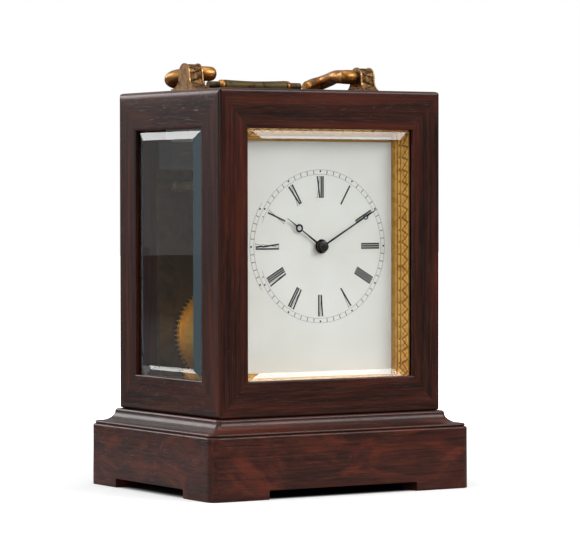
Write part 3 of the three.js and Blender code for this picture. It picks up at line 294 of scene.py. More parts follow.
@dataclass(frozen=True)
class Rosewood:
    """Polished rosewood: near-black streaks in red-brown, with open pores along the grain."""

    dark: Colour = shade(28, 12, 8)
    middle: Colour = shade(62, 26, 17)
    red: Colour = shade(94, 39, 24)
    pale_fibre: Colour = shade(104, 64, 46)
    open_pore: Colour = shade(14, 6, 4)
    filled_pore: Colour = shade(150, 128, 108)
    roughness: float = 0.24
    specular: float = 0.25
    coat: float = 0.12
    coat_roughness: float = 0.1
    relief: float = 0.00006
    swirl: float = 0.0
    slot: str = "rosewood"

    def make(self, name: str, grain: Grain, seed: int) -> bpy.types.Material:
        """Makes the material of one board.

        Args:
            name: the board's name.
            grain: the way its fibres run.
            seed: picks its own part of the figure.

        Returns:
            The material.
        """
        sh = Shader.material(f"rosewood_{name}")
        shift = np.random.default_rng(seed).uniform(-9, 9, 3)

        def fibres(along: float, across: float) -> Value:
            """Coordinates stretched along the grain.

            Args:
                along, across: scales along and across the grain.

            Returns:
                The coordinates.
            """
            scale = [across] * 3
            scale[grain.value] = along
            return sh.placed(scale, shift)

        wide = fibres(12 + 13 * self.swirl, 190 - 120 * self.swirl)
        figure = sh.noise(wide, 5, 0.6, 0.5 + 1.6 * self.swirl)
        streak = sh.noise(fibres(16, 900), 6, 0.7, 0.3)
        line = sh.noise(fibres(34, 2100), 3, 0.6, 0.2)
        fibre = sh.noise(fibres(110, 4200), 2, 0.6)
        pore = sh.step(sh.noise(fibres(230, 3600), 2, 0.5), 0.62, 0.76)
        wear = sh.noise(sh.placed((60, 60, 60), shift), 5, 0.6)
        speck = sh.noise(sh.placed((1900, 1900, 1900), shift), 1, 0.5)
        tone = sh.mix(sh.step(streak, 0.38, 0.6), self.dark, self.middle)
        tone = sh.mix(sh.step(figure, 0.45, 0.68) * 0.75, tone, self.red)
        tone = sh.mix(sh.step(line, 0.52, 0.68) * 0.6, tone, self.dark)
        tone = sh.mix(sh.step(fibre, 0.5, 0.75) * 0.4, tone, self.pale_fibre)
        tone = sh.mix(pore * 0.6, tone, self.open_pore)
        tone = sh.mix(sh.step(speck, 0.8, 0.84) * 0.5, tone, self.filled_pore)
        height = streak * 0.25 + wear * 0.5 - pore * 0.6
        return sh.done(sh.surface({
            "Base Color": tone,
            "Roughness": self.roughness + wear * 0.16 + pore * 0.12,
            "Specular IOR Level": self.specular,
            "Coat Weight": self.coat,
            "Coat Roughness": self.coat_roughness,
            "Normal": sh.bump(height, self.relief, 0.8),
        }))


@dataclass(frozen=True)
class PlainWood:
    """Unpolished secondary wood inside the base."""

    light: Colour = shade(122, 84, 54)
    dark: Colour = shade(84, 54, 34)

    def make(self, name: str) -> bpy.types.Material:
        """Makes the material.

        Args:
            name: the material's name.

        Returns:
            The material.
        """
        sh = Shader.material(name)
        ring = sh.noise(sh.placed((18, 320, 320)), 5, 0.6, 0.4)
        tone = sh.mix(sh.step(ring, 0.35, 0.68), self.dark, self.light)
        return sh.done(sh.surface({
            "Base Color": tone,
            "Roughness": 0.62 + ring * 0.2,
            "Normal": sh.bump(ring, 0.0001, 0.7),
        }))


@dataclass(frozen=True)
class Metal:
    """A metal with cloudy tarnish, fine scratches and duller hollows.

    Tarnish is the share of the dull colour, and patch the number of its clouds in a metre.
    """

    name: str
    slot: str
    bright: Colour
    dull: Colour
    roughness: float
    tarnish: float
    patch: float
    brushed: tuple[float, float, float] = (900, 900, 900)
    relief: float = 0.00001
    sunk: Colour | None = None

    def make(self) -> bpy.types.Material:
        """Makes the material.

        Returns:
            The material.
        """
        sh = Shader.material(self.name)
        cloud = sh.noise(sh.placed((self.patch,) * 3), 5, 0.62, 0.6)
        scratch = sh.noise(sh.placed(self.brushed), 3, 0.5)
        stain = sh.step(cloud, 0.42, 0.7) * self.tarnish
        rough = self.roughness + cloud * 0.14 + scratch * 0.1 + stain * 0.12
        tone = sh.mix(stain, self.bright, self.dull)
        # the hollow attribute darkens the cuts, and on the slip it also paints shade along the
        # outer edge
        if self.sunk is not None:
            hollow = sh.node("ShaderNodeAttribute", {"attribute_name": "hollow"}, {}, "Fac")
            tone = sh.mix(hollow.clamped(), tone, self.sunk)
            rough = rough + hollow * 0.2
        return sh.done(sh.surface({
            "Base Color": tone,
            "Metallic": 1.0,
            "Roughness": rough,
            "Normal": sh.bump(scratch, self.relief, 0.6),
        }))


@dataclass(frozen=True)
class Enamel:
    """White vitreous enamel, a little uneven and cloudy."""

    name: str = "dial_enamel"
    white: Colour = shade(238, 239, 236)
    warm: Colour = shade(231, 232, 226)

    def make(self) -> bpy.types.Material:
        """Makes the material.

        Returns:
            The material.
        """
        sh = Shader.material(self.name)
        cloud = sh.noise(sh.placed((40, 40, 40)), 4, 0.55)
        ripple = sh.noise(sh.placed((160, 160, 160)), 2, 0.5)
        return sh.done(sh.surface({
            "Base Color": sh.mix(sh.step(cloud, 0.35, 0.7), self.white, self.warm),
            "Roughness": 0.16 + cloud * 0.12,
            "Normal": sh.bump(ripple, 0.00003, 0.5),
        }))


@dataclass(frozen=True)
class Ink:
    """A fired colour of the dial's figures and marks, slightly worn."""

    name: str
    fresh: Colour
    worn: Colour
    slot: str = "enamel"

    def make(self) -> bpy.types.Material:
        """Makes the material.

        Returns:
            The material.
        """
        sh = Shader.material(self.name)
        wear = sh.noise(sh.placed((700, 700, 700)), 3, 0.6)
        return sh.done(sh.surface({
            "Base Color": sh.mix(sh.step(wear, 0.45, 0.75), self.fresh, self.worn),
            "Roughness": 0.3 + wear * 0.2,
        }))


@dataclass(frozen=True)
class ClearGlass:
    """Polished plate glass that lets the lamps through to what stands behind it."""

    name: str = "bevelled_glass"
    tint: Colour = (0.985, 0.99, 0.985)
    bending: float = 1.52

    def make(self) -> bpy.types.Material:
        """Makes the material.

        Returns:
            The material.
        """
        sh = Shader.material(self.name)
        glass = sh.surface({
            "Base Color": self.tint,
            "Roughness": 0.0,
            "IOR": self.bending,
            "Transmission Weight": 1.0,
        })
        clear = sh.node("ShaderNodeBsdfTransparent", {}, {"Color": self.tint})
        shadow = sh.node("ShaderNodeLightPath", {}, {}, "Is Shadow Ray")
        return sh.done(sh.node("ShaderNodeMixShader", {}, {0: shadow, 1: glass, 2: clear}))


LENGTHWAYS = (2400, 300, 2400)

ROSEWOOD = Rosewood()
FIGURED_ROSEWOOD = Rosewood(
    dark=shade(40, 17, 12), middle=shade(70, 29, 19), red=shade(110, 47, 30), swirl=1.0
)
GILT = Metal("gilt_brass", "gilt_brass", shade(240, 190, 104), shade(186, 124, 54), 0.22, 0.5, 260)
# the sunk colour fills the engraved cuts, and on the slip's outer edge it is a painted shade
ENGRAVED_GILT = Metal(
    "engraved_gilt", "gilt_brass", shade(248, 196, 104), shade(196, 132, 56), 0.3, 0.6, 420,
    sunk=shade(62, 34, 10),
)
BRASS = Metal(
    "clock_brass", "clock_brass", shade(232, 184, 96), shade(160, 112, 48), 0.26, 0.6, 120,
    LENGTHWAYS,
)
# Painted highlight: the barrel is the same brass, coloured brighter to stand for a bright
# reflection on it.
HIGHLIGHTED_BARREL_BRASS = Metal(
    "barrel_brass_painted_highlight", "clock_brass", shade(255, 214, 112), shade(214, 156, 66), 0.3, 0.5, 90,
    LENGTHWAYS,
)
# Painted shade: the plates and pillars are the same brass as the train, coloured darker to stand
# for the shade inside the case.
SHADED_PLATE_BRASS = Metal(
    "plate_brass_painted_shade", "clock_brass", shade(128, 104, 62), shade(66, 52, 32), 0.36, 0.8, 60, LENGTHWAYS
)
HANDLE_GOLD = Metal(
    "handle_brass", "handle_brass", shade(182, 128, 68), shade(92, 58, 29), 0.26, 0.85, 240
)
BRONZE = Metal(
    "handle_bronze", "handle_bronze", shade(172, 130, 86), shade(56, 39, 25), 0.26, 0.85, 520,
    sunk=shade(40, 27, 17),
)
GRIP_BRONZE = Metal(
    "grip_bronze", "handle_bronze", shade(92, 78, 52), shade(38, 32, 22), 0.3, 0.8, 300
)
STEEL = Metal(
    "steel", "steel", shade(176, 178, 182), shade(96, 96, 100), 0.22, 0.5, 200, (400, 3000, 400)
)
BLUED = Metal("blued_steel", "blued_steel", shade(24, 27, 44), shade(18, 18, 24), 0.24, 0.4, 500)
DARK_STEEL = Metal("dark_steel", "steel", shade(74, 70, 68), shade(38, 35, 34), 0.28, 0.5, 500)
SILVERED = Metal(
    "silvered_brass", "silvered_brass", shade(196, 190, 172), shade(150, 138, 108), 0.3, 0.5, 200
)
FIGURE_BLACK = Ink("figure_black", shade(8, 8, 10), shade(30, 30, 31))
MINUTE_GREY = Ink("minute_grey", shade(112, 111, 110), shade(146, 145, 142))


# ------------------------------------------------------------------ surfaces


def grid_faces(rows: int, columns: int, wrap_rows: bool, wrap_columns: bool) -> Array:
    """Four-sided faces of a grid: each joins a point to the next in its row and column.

    Args:
        rows, columns: the grid's size.
        wrap_rows: joins the last row to the first.
        wrap_columns: joins the last column to the first.

    Returns:
        Point numbers, four for each face.
    """
    i = np.arange(rows if wrap_rows else rows - 1)
    j = np.arange(columns if wrap_columns else columns - 1)
    i, j = np.meshgrid(i, j, indexing="ij")
    down, across = (i + 1) % rows, (j + 1) % columns
    corners = [i * columns + j, i * columns + across, down * columns + across, down * columns + j]
    return np.stack([corner.ravel() for corner in corners], axis=1)


class Surface:
    """Collects closed shells, in millimetres, for one piece."""

    def __init__(self) -> None:
        """Starts empty."""
        self.points: list[Array] = []
        self.hollows: list[Array] = []
        self.faces: list[list[int]] = []
        self.count = 0

    def shell(self, points: Array, wrap_rows: bool = True, wrap_columns: bool = False,
              caps: bool = True, hollow: Array | None = None) -> "Surface":
        """Adds a grid of points as a shell.

        Args:
            points: rows by columns by three.
            wrap_rows: whether the rows close round.
            wrap_columns: whether the columns close round.
            caps: closes the first and the last column with one flat face each.
            hollow: how deep in a cut each point lies, from nothing to one, where that shows; on the
                slip it also paints shade along the outer edge.

        Returns:
            This surface, for more.
        """
        rows, columns = points.shape[:2]
        faces = (grid_faces(rows, columns, wrap_rows, wrap_columns) + self.count).tolist()
        if caps and not wrap_columns:
            first = (np.arange(rows) * columns + self.count).tolist()
            faces.append(first)
            faces.append([n + columns - 1 for n in reversed(first)])
        self.points.append(points.reshape(-1, 3))
        self.hollows.append(np.zeros(rows * columns) if hollow is None else hollow.ravel())
        self.faces.extend(faces)
        self.count += rows * columns
        return self

    def make(self, name: str, material: bpy.types.Material,
             sharp: float = 32.0) -> bpy.types.Object:
        """Makes the object: doubled points are merged and every face turned outwards.

        Args:
            name: the piece's name.
            material: its finish.
            sharp: edges that turn by more degrees than this stay crisp.

        Returns:
            The object, at the origin.
        """
        mesh = bpy.data.meshes.new(name)
        mesh.from_pydata((np.concatenate(self.points) * MM).tolist(), [], self.faces)
        if any(cut.any() for cut in self.hollows):
            layer = mesh.attributes.new("hollow", "FLOAT", "POINT")
            layer.data.foreach_set("value", np.concatenate(self.hollows).astype(np.float32))
        work = bmesh.new()
        work.from_mesh(mesh)
        bmesh.ops.remove_doubles(work, verts=work.verts, dist=DOUBLED)
        bmesh.ops.dissolve_degenerate(work, edges=work.edges, dist=DOUBLED / 2)
        bmesh.ops.recalc_face_normals(work, faces=work.faces)
        work.to_mesh(mesh)
        work.free()
        mesh.polygons.foreach_set("use_smooth", np.ones(len(mesh.polygons), bool))
        mesh.set_sharp_from_angle(angle=math.radians(sharp))
        mesh.materials.append(material)
        made = bpy.data.objects.new(name, mesh)
        bpy.context.scene.collection.objects.link(made)
        return made


def place(piece: bpy.types.Object, body: str, slot: str, *nodes: str) -> bpy.types.Object:
    """Gives a new piece its body and hides the CAD nodes that it stands for.

    Args:
        piece: the finished piece.
        body: the body that it rides on.
        slot: the record's material slot; not used.
        nodes: CAD nodes that it replaces.

    Returns:
        The piece.
    """
    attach(piece, body)
    if nodes:
        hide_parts(*nodes)
    log.info("%s: %d faces, rides on %s", piece.name, len(piece.data.polygons), body)
    return piece


def dress(node: str, material: bpy.types.Material, flat: bool = False) -> None:
    """Puts a material on a CAD node, with flat faces where they are ground so.

    Args:
        node: the node's name.
        material: its finish.
        flat: whether its faces are ground flat.
    """
    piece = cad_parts[node]
    piece.data.materials.clear()
    piece.data.materials.append(material)
    if flat:
        faces = piece.data.polygons
        faces.foreach_set("use_smooth", np.zeros(len(faces), bool))
    log.info("%s: dressed with %s", node, material.name)


def quarter_turned(points: Array, side: Side) -> Array:
    """Turns points about Z from the front wall to another wall.

    Args:
        points: any shape ending in three.
        side: the wall.

    Returns:
        The turned points; each quarter turn takes (x, y) to (-y, x).
    """
    x, y, z = np.moveaxis(points, -1, 0)
    for _ in range(side.value):
        x, y = -y, x
    return np.stack([x, y, z], axis=-1)


def middle_of(node: str) -> tuple[float, float, float]:
    """The middle of a CAD node's box, in millimetres."""
    low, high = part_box(node)
    return tuple((a + b) / 2 / MM for a, b in zip(low, high))


def rounded_edge(points: Array, first: int, second: int, half: tuple[Any, Any], radius: Any,
                 middle: float = 0.0) -> Array:
    """Rounds the edges where two walls of a box meet.

    A point that lies beyond the edge's circle is drawn straight back on to it.

    Args:
        points: any shape ending in three.
        first, second: the two axes that the section is drawn in.
        half: half of the box along each; numbers, or one for each point.
        radius: the edge's radius.
        middle: the box's middle along the second axis.

    Returns:
        The moved points.
    """
    moved = points.copy()
    a, b = points[..., first], points[..., second] - middle
    ca, cb = half[0] - radius, half[1] - radius
    da, db = np.abs(a) - ca, np.abs(b) - cb
    far = np.hypot(np.maximum(da, 0), np.maximum(db, 0))
    out = (da > 0) & (db > 0) & (far > radius)
    pull = np.where(out, radius / np.maximum(far, 1e-9), 1.0)
    moved[..., first] = np.where(out, np.sign(a) * (ca + da * pull), a)
    moved[..., second] = np.where(out, np.sign(b) * (cb + db * pull), b) + middle
    return moved


def turned(profile: Array, centre: Sequence[float], axis: int, around: int = 32) -> Array:
    """A turned shape: each point of a profile is carried round an axis.

    Args:
        profile: radius and distance along the axis.
        centre: a point on the axis.
        axis: the axis's number.
        around: steps round it.

    Returns:
        A grid with one row for each angle.
    """
    angle = np.arange(around) * 2 * np.pi / around
    radius, along = profile[:, 0], profile[:, 1]
    made = np.zeros((around, len(profile), 3))
    made[..., axis] = along[None, :]
    made[..., (axis + 1) % 3] = radius[None, :] * np.cos(angle)[:, None]
    made[..., (axis + 2) % 3] = radius[None, :] * np.sin(angle)[:, None]
    return made + np.array(centre)


def smooth_path(knots: Array, steps: int) -> Array:
    """A curve through every knot: cubic pieces whose slopes follow the neighbouring knots.

    Args:
        knots: points to pass through, of any number of values.
        steps: the number of points handed back.

    Returns:
        Points at even steps of the knots' own count.
    """
    ends = np.concatenate([[2 * knots[0] - knots[1]], knots, [2 * knots[-1] - knots[-2]]])
    at = np.linspace(0, len(knots) - 1 - 1e-9, steps)
    i = at.astype(int)
    t = (at - i)[:, None]
    p0, p1, p2, p3 = ends[i], ends[i + 1], ends[i + 2], ends[i + 3]
    return 0.5 * (2 * p1 + (p2 - p0) * t + (2 * p0 - 5 * p1 + 4 * p2 - p3) * t**2
                  + (3 * p1 - p0 - 3 * p2 + p3) * t**3)


def tube(path: Array, radius: Array, around: int = 24) -> Array:
    """A tube: circles stand across a path, each with its own radius.

    Args:
        path: points along the middle.
        radius: one for each point.
        around: steps round each circle.

    Returns:
        A grid with one row for each angle.
    """
    ahead = np.gradient(path, axis=0)
    ahead /= np.linalg.norm(ahead, axis=1, keepdims=True)
    up = np.array([0.0, 0.0, 1.0])
    side = np.cross(ahead, up)
    side /= np.linalg.norm(side, axis=1, keepdims=True)
    rise = np.cross(side, ahead)
    angle = (np.arange(around) * 2 * np.pi / around)[:, None, None]
    out = np.cos(angle) * side[None] + np.sin(angle) * rise[None]
    return path[None] + radius[None, :, None] * out


def screw_head(centre: Sequence[float], axis: int, out: float, radius: float, turn: float) -> Array:
    """A slotted screw head: a low dome whose points are pressed down along one line.

    Args:
        centre: the middle of its underside.
        axis: the axis that it points along.
        out: plus or minus one, the way that it faces.
        radius: the head's radius.
        turn: the slot's angle in degrees.

    Returns:
        A grid with one row for each angle.
    """
    share = np.array([0, 0.12, 0.25, 0.45, 0.65, 0.85, 0.96, 1.0, 1.0, 0.0])
    height = np.array([0.62, 0.62, 0.61, 0.59, 0.55, 0.46, 0.36, 0.26, 0.0, 0.0]) * radius
    grid = turned(np.stack([share * radius, height], axis=1), (0, 0, 0), axis, 40)
    a, b = grid[..., (axis + 1) % 3], grid[..., (axis + 2) % 3]
    slant = math.radians(turn)
    off = np.abs(a * math.cos(slant) + b * math.sin(slant))
    floor, half_slot = 0.2 * radius, 0.17 * radius
    slot = (off < half_slot) & (grid[..., axis] > floor)
    grid[..., axis] = np.where(slot, floor, grid[..., axis]) * out
    return grid + np.array(centre)


# ------------------------------------------------------------------ wooden parts


@dataclass
class FrameWall:
    """A wall with a window: four boards mitred at the window's corners, in the wall's plane.

    Inset runs from an outer edge towards the window, and depth from the outer face inwards.
    Near gives the rows that lie close together by an outer edge, for its rounding.
    """

    half: float
    bottom: float
    top: float
    stiles: tuple[float, float]
    rails: tuple[float, float]
    mitred: tuple[bool, bool]
    thickness: float = 6.0
    lip: float = 1.3
    rabbet: float = 3.0
    window_round: float = 0.45
    near: tuple[float, ...] = (0, 0.1, 0.2, 0.35, 0.5, 0.75, 1.0, 1.25, 1.5, 2.5, 6.0)

    def section(self, width: float, mitred: bool) -> Array:
        """A board's closed outline: face, rounded window edge, reveal, rabbet and back.

        Args:
            width: from the outer edge to the window.
            mitred: whether its outer edge is cut at 45 degrees for the next wall.

        Returns:
            Inset and depth of each point.
        """
        bend = self.window_round
        face = [(inset, 0.0) for inset in (*self.near, width - 1.2, width - bend)]
        round_edge = [(width - bend + bend * math.sin(a), bend - bend * math.cos(a))
                      for a in np.radians([22, 45, 68, 90])]
        back = [
            (width, self.lip),
            (width - self.rabbet, self.lip),
            (width - self.rabbet, self.thickness),
        ]
        near = self.near[:-1]
        if mitred:
            edge = [(self.thickness, self.thickness)]
        else:
            edge = [(0.0, self.thickness)] + [(0.0, depth) for depth in near[:0:-1]]
        return np.array(face + round_edge + back + edge)

    def board(self, length: float, section: Array, width: float, ends: tuple[float, float],
              mitred: tuple[bool, bool]) -> Array:
        """Carries a section along a board whose ends are cut to the mitre lines.

        An end lies at the inset's share of the next board's width, and no nearer than the
        depth where the next wall is mitred.

        Args:
            length: the wall's whole length along the board.
            section: inset and depth.
            width: the board's own width.
            ends: the widths of the boards that it meets.
            mitred: whether each end is also cut for the next wall.

        Returns:
            Along, inset and depth, one row for each point of the section.
        """
        share = section[:, 0] / width
        starts = [np.maximum(share * end, section[:, 1] if cut else 0)
                  for end, cut in zip(ends, mitred)]
        near = np.array(self.near)
        low = starts[0][:, None] + near
        high = length - starts[1][:, None] - near[::-1]
        part = np.linspace(0, 1, 14)[None, 1:-1]
        middle = low[:, -1:] * (1 - part) + high[:, :1] * part
        along = np.concatenate([low, middle, high], axis=1)
        inset = np.broadcast_to(section[:, :1], along.shape)
        depth = np.broadcast_to(section[:, 1:], along.shape)
        return np.stack([along, inset, depth], axis=-1)

    def boards(self) -> dict[str, tuple[Array, bool]]:
        """The four boards: a grid of sideways, depth and height, and whether it is upright.

        Returns:
            The boards by name.
        """
        height = self.top - self.bottom
        made: dict[str, tuple[Array, bool]] = {}
        for name, which, sign in (("left_stile", 0, -1), ("right_stile", 1, 1)):
            width = self.stiles[which]
            section = self.section(width, self.mitred[which])
            grid = self.board(height, section, width, self.rails, (False, False))
            along, inset, depth = np.moveaxis(grid, -1, 0)
            sideways = sign * (self.half - inset)
            made[name] = (np.stack([sideways, depth, self.bottom + along], -1), True)
        for name, which in (("bottom_rail", 0), ("top_rail", 1)):
            width = self.rails[which]
            section = self.section(width, False)
            grid = self.board(2 * self.half, section, width, self.stiles, self.mitred)
            along, inset, depth = np.moveaxis(grid, -1, 0)
            level = self.top - inset if which else self.bottom + inset
            made[name] = (np.stack([along - self.half, depth, level], -1), False)
        return made


@dataclass
class WoodenCase:
    """Plinth, moulding, walls and top, all veneered with the same wood."""

    half_x: float = 45.0
    half_y: float = 35.5
    bottom: float = 27.1
    top: float = 139.2
    wall: float = 6.0
    corner: float = 1.4
    arris: float = 1.15
    side_arris: float = 2.0
    lid_gap: float = 0.04
    front_stile: float = 11.4
    side_stile: float = 12.35
    top_rail: float = 13.6
    bottom_rail: float = 12.6
    top_thickness: float = 6.0
    plinth_overhang: float = 7.7
    plinth_height: float = 21.7
    plinth_corner: float = 3.3
    plinth_board: float = 9.0
    plinth_edge: float = 0.6
    plinth_arris: float = 0.35
    foot_lengths: tuple[float, float] = (22.7, 19.2)
    foot_gap: float = 3.1
    foot_curve: float = 0.8
    moulding_height: float = 5.4
    moulding_foot: float = 7.0
    moulding_top: float = 1.1
    moulding_corner: float = 2.6
    corner_room: float = 11.0
    fillet: float = 1.1
    seed: int = 11

    @property
    def middle(self) -> float:
        """The level half way up the walls."""
        return (self.bottom + self.top) / 2

    @property
    def half_tall(self) -> float:
        """Half of the walls' height."""
        return (self.top - self.bottom) / 2

    def _wood(self, name: str, grain: Grain, kind: Rosewood = ROSEWOOD) -> bpy.types.Material:
        """The next board's material."""
        self.seed += 1
        return kind.make(name, grain, self.seed)

    def _eased(self, points: Array) -> Array:
        """Rounds the case's upright corners and its top edges.

        Args:
            points: any shape ending in three.

        Returns:
            The moved points.
        """
        middle, tall = self.middle, self.half_tall
        points = rounded_edge(points, 0, 1, (self.half_x, self.half_y), self.corner)
        points = rounded_edge(points, 1, 2, (self.half_y, tall), self.arris, middle)
        return rounded_edge(points, 0, 2, (self.half_x, tall), self.side_arris, middle)

    def walls(self) -> None:
        """The front and the two side walls."""
        rails = (self.bottom_rail, self.top_rail)
        mitres = {Side.FRONT: (True, True), Side.LEFT: (False, True), Side.RIGHT: (True, False)}
        for side, mitred in mitres.items():
            front = side is Side.FRONT
            half, across = (self.half_x, self.half_y) if front else (self.half_y, self.half_x)
            stile = self.front_stile if front else self.side_stile
            wall = FrameWall(half, self.bottom, self.top, (stile, stile), rails, mitred)
            for part, (grid, upright) in wall.boards().items():
                grid[..., 1] -= across
                grid = self._eased(quarter_turned(grid, side))
                name = f"{side.name.lower()}_{part}"
                level = Grain.ACROSS if front else Grain.DEEP
                wood = self._wood(name, Grain.UPRIGHT if upright else level)
                piece = Surface().shell(grid).make(name, wood)
                place(piece, "case", ROSEWOOD.slot, f"{side.name.lower()}_frame")

    def lid(self) -> None:
        """The top: a slab between the walls, level with them, its back edge eased.

        Its sections are rectangles whose points lie close together near the edges.
        """
        inner_x, front_y = self.half_x - self.wall, -self.half_y + self.wall
        near = np.array([0, 0.15, 0.3, 0.55, 1.2])
        deep = np.concatenate([front_y + near * 0.1, self.half_y - near[::-1]])
        low, high = self.top - self.top_thickness, self.top
        upper = np.stack([deep, np.full_like(deep, high)], 1)
        edge = np.stack([np.full(4, self.half_y), high - near[1:]], 1)
        lower = np.array([[self.half_y, low], [front_y, low]])
        section = np.concatenate([upper, edge, lower])
        reach = inner_x - self.lid_gap
        along = np.linspace(-reach, reach, 24)
        grid = np.empty((len(section), len(along), 3))
        grid[..., 0] = along
        grid[..., 1:] = section[:, None, :]
        grid = rounded_edge(grid, 1, 2, (self.half_y, self.half_tall), self.arris, self.middle)
        piece = Surface().shell(grid).make("lid", self._wood("lid", Grain.ACROSS))
        place(piece, "case", ROSEWOOD.slot, "top_board")

    def _bar(self, name: str, side: Side, section: Array, corner: Callable[[Array], Array],
             node: str, foot: Callable[[Array], Array] | None = None,
             along: Array | None = None) -> None:
        """A bar round one wall, mitred at both ends: overhang grows its length and distance.

        Args:
            name: the piece's name.
            side: the wall that it belongs to.
            section: overhang from the case wall, and height.
            corner: the radius of the upright corner for each overhang.
            node: the CAD node that it replaces.
            foot: the height of the lower edge for each place along the bar.
            along: the places along the bar, without those close to its ends.
        """
        broad = side in (Side.FRONT, Side.BACK)
        half, across = (self.half_x, self.half_y) if broad else (self.half_y, self.half_x)
        overhang, height = section[:, :1], section[:, 1:]
        near = np.array([0, 0.3, 0.6, 0.9, 1.25, 1.6, 2, 2.5, 3, 3.6, 4.4])
        if along is None:
            straight = half - self.corner_room
            along = np.linspace(-straight, straight, 40)
        reach = half + overhang
        ends = reach - near
        middle = np.broadcast_to(along, (len(section), len(along)))
        x = np.concatenate([-ends, middle, ends[:, ::-1]], axis=1)
        z = np.broadcast_to(height, x.shape)
        if foot is not None:
            z = foot(x) * (1 - z / self.plinth_height) + z
        y = np.broadcast_to(-(across + overhang), x.shape)
        grid = np.stack([x, y, z], axis=-1)
        over = np.broadcast_to(np.maximum(overhang, 0), x.shape)
        grid = rounded_edge(grid, 0, 1, (half + over, across + over), corner(over))
        kind = ROSEWOOD if foot is None else FIGURED_ROSEWOOD
        wood = self._wood(name, Grain.ACROSS if broad else Grain.DEEP, kind)
        piece = Surface().shell(quarter_turned(grid, side)).make(name, wood)
        place(piece, "case", ROSEWOOD.slot, node)

    def plinth(self) -> None:
        """Four boards with bracket feet; the gap's ends are quarter circles."""
        over, high = self.plinth_overhang, self.plinth_height
        arris, edge = self.plinth_arris, self.plinth_edge
        back = over - self.plinth_board
        bend = np.radians([0, 22, 45, 68, 90])
        low_edge = np.stack([over - arris + arris * np.sin(bend), arris - arris * np.cos(bend)], 1)
        face = np.stack([np.full(8, over), np.linspace(1.2, high - 1.2, 8)], 1)
        top_edge = np.stack(
            [over - edge + edge * np.cos(bend), high - edge + edge * np.sin(bend)], 1
        )
        section = np.concatenate([[[back, 0]], low_edge, face, top_edge, [[back, high]]])
        rise, curve = self.foot_gap, self.foot_curve
        for side in Side:
            broad = side in (Side.FRONT, Side.BACK)
            reach = (self.half_x if broad else self.half_y) + over
            gap = reach - self.foot_lengths[0 if broad else 1]
            arc = gap - curve + curve * np.cos(np.radians([0, 8, 20, 35, 50, 70, 90]))
            level = np.linspace(0, gap - curve - 1, 14)
            beyond = np.linspace(gap + 1.5, reach - 6.2 - over, 6)
            half_along = np.concatenate([level, arc[::-1], [gap + 0.02], beyond])
            along = np.concatenate([-half_along[:0:-1], half_along])

            def foot(x: Array, gap: float = gap) -> Array:
                """The lower edge: level over the gap, with a quarter circle at its ends.

                Args:
                    x: places along the board.
                    gap: half of the gap between its feet.

                Returns:
                    The edge's height at each.
                """
                inside = np.clip((np.abs(x) - (gap - curve)) / curve, 0, 1)
                lift = rise - curve + curve * np.sqrt(1 - inside**2)
                return np.where(np.abs(x) > gap + 0.01, 0.0, lift)

            self._bar(f"plinth_board_{side.name.lower()}", side, section,
                      lambda over: np.full_like(over, self.plinth_corner),
                      f"plinth_{side.name.lower()}", foot, along)

    def moulding(self) -> None:
        """Four mitred mouldings: a quarter-round fillet, a hollow and a small upright step."""
        low, high = self.plinth_height, self.plinth_height + self.moulding_height
        foot, top, fillet = self.moulding_foot, self.moulding_top, self.fillet
        bend = np.radians(np.linspace(0, 90, 7))
        nose = np.stack([foot - fillet / 2 + fillet / 2 * np.sin(2 * bend),
                         low + fillet / 2 - fillet / 2 * np.cos(2 * bend)], 1)
        rise = self.moulding_height - fillet - 0.7
        turn = np.radians(np.linspace(0, 90, 11))
        hollow = np.stack([foot - 0.9 - (foot - 0.9 - top - 0.3) * np.sin(turn),
                           low + fillet + rise * (1 - np.cos(turn))], 1)
        step = np.array([[top + 0.3, high - 0.55], [top + 0.12, high - 0.2], [top - 0.1, high]])
        section = np.concatenate([[[-self.wall, low]], nose, hollow, step, [[-self.wall, high]]])
        spread = foot - top

        def corner(over: Array) -> Array:
            """The corner's radius: the walls' at the top, growing evenly to the foot."""
            grown = np.clip((over - top) / spread, 0, 1)
            return self.corner + (self.moulding_corner - self.corner) * grown

        for side in Side:
            self._bar(f"moulding_bar_{side.name.lower()}", side, section, corner,
                      f"moulding_{side.name.lower()}")

    def build(self) -> None:
        """Builds and dresses every wooden part that doesn't move."""
        self.walls()
        self.lid()
        self.plinth()
        self.moulding()
        dress("base_board", PlainWood().make("inner_wood"))


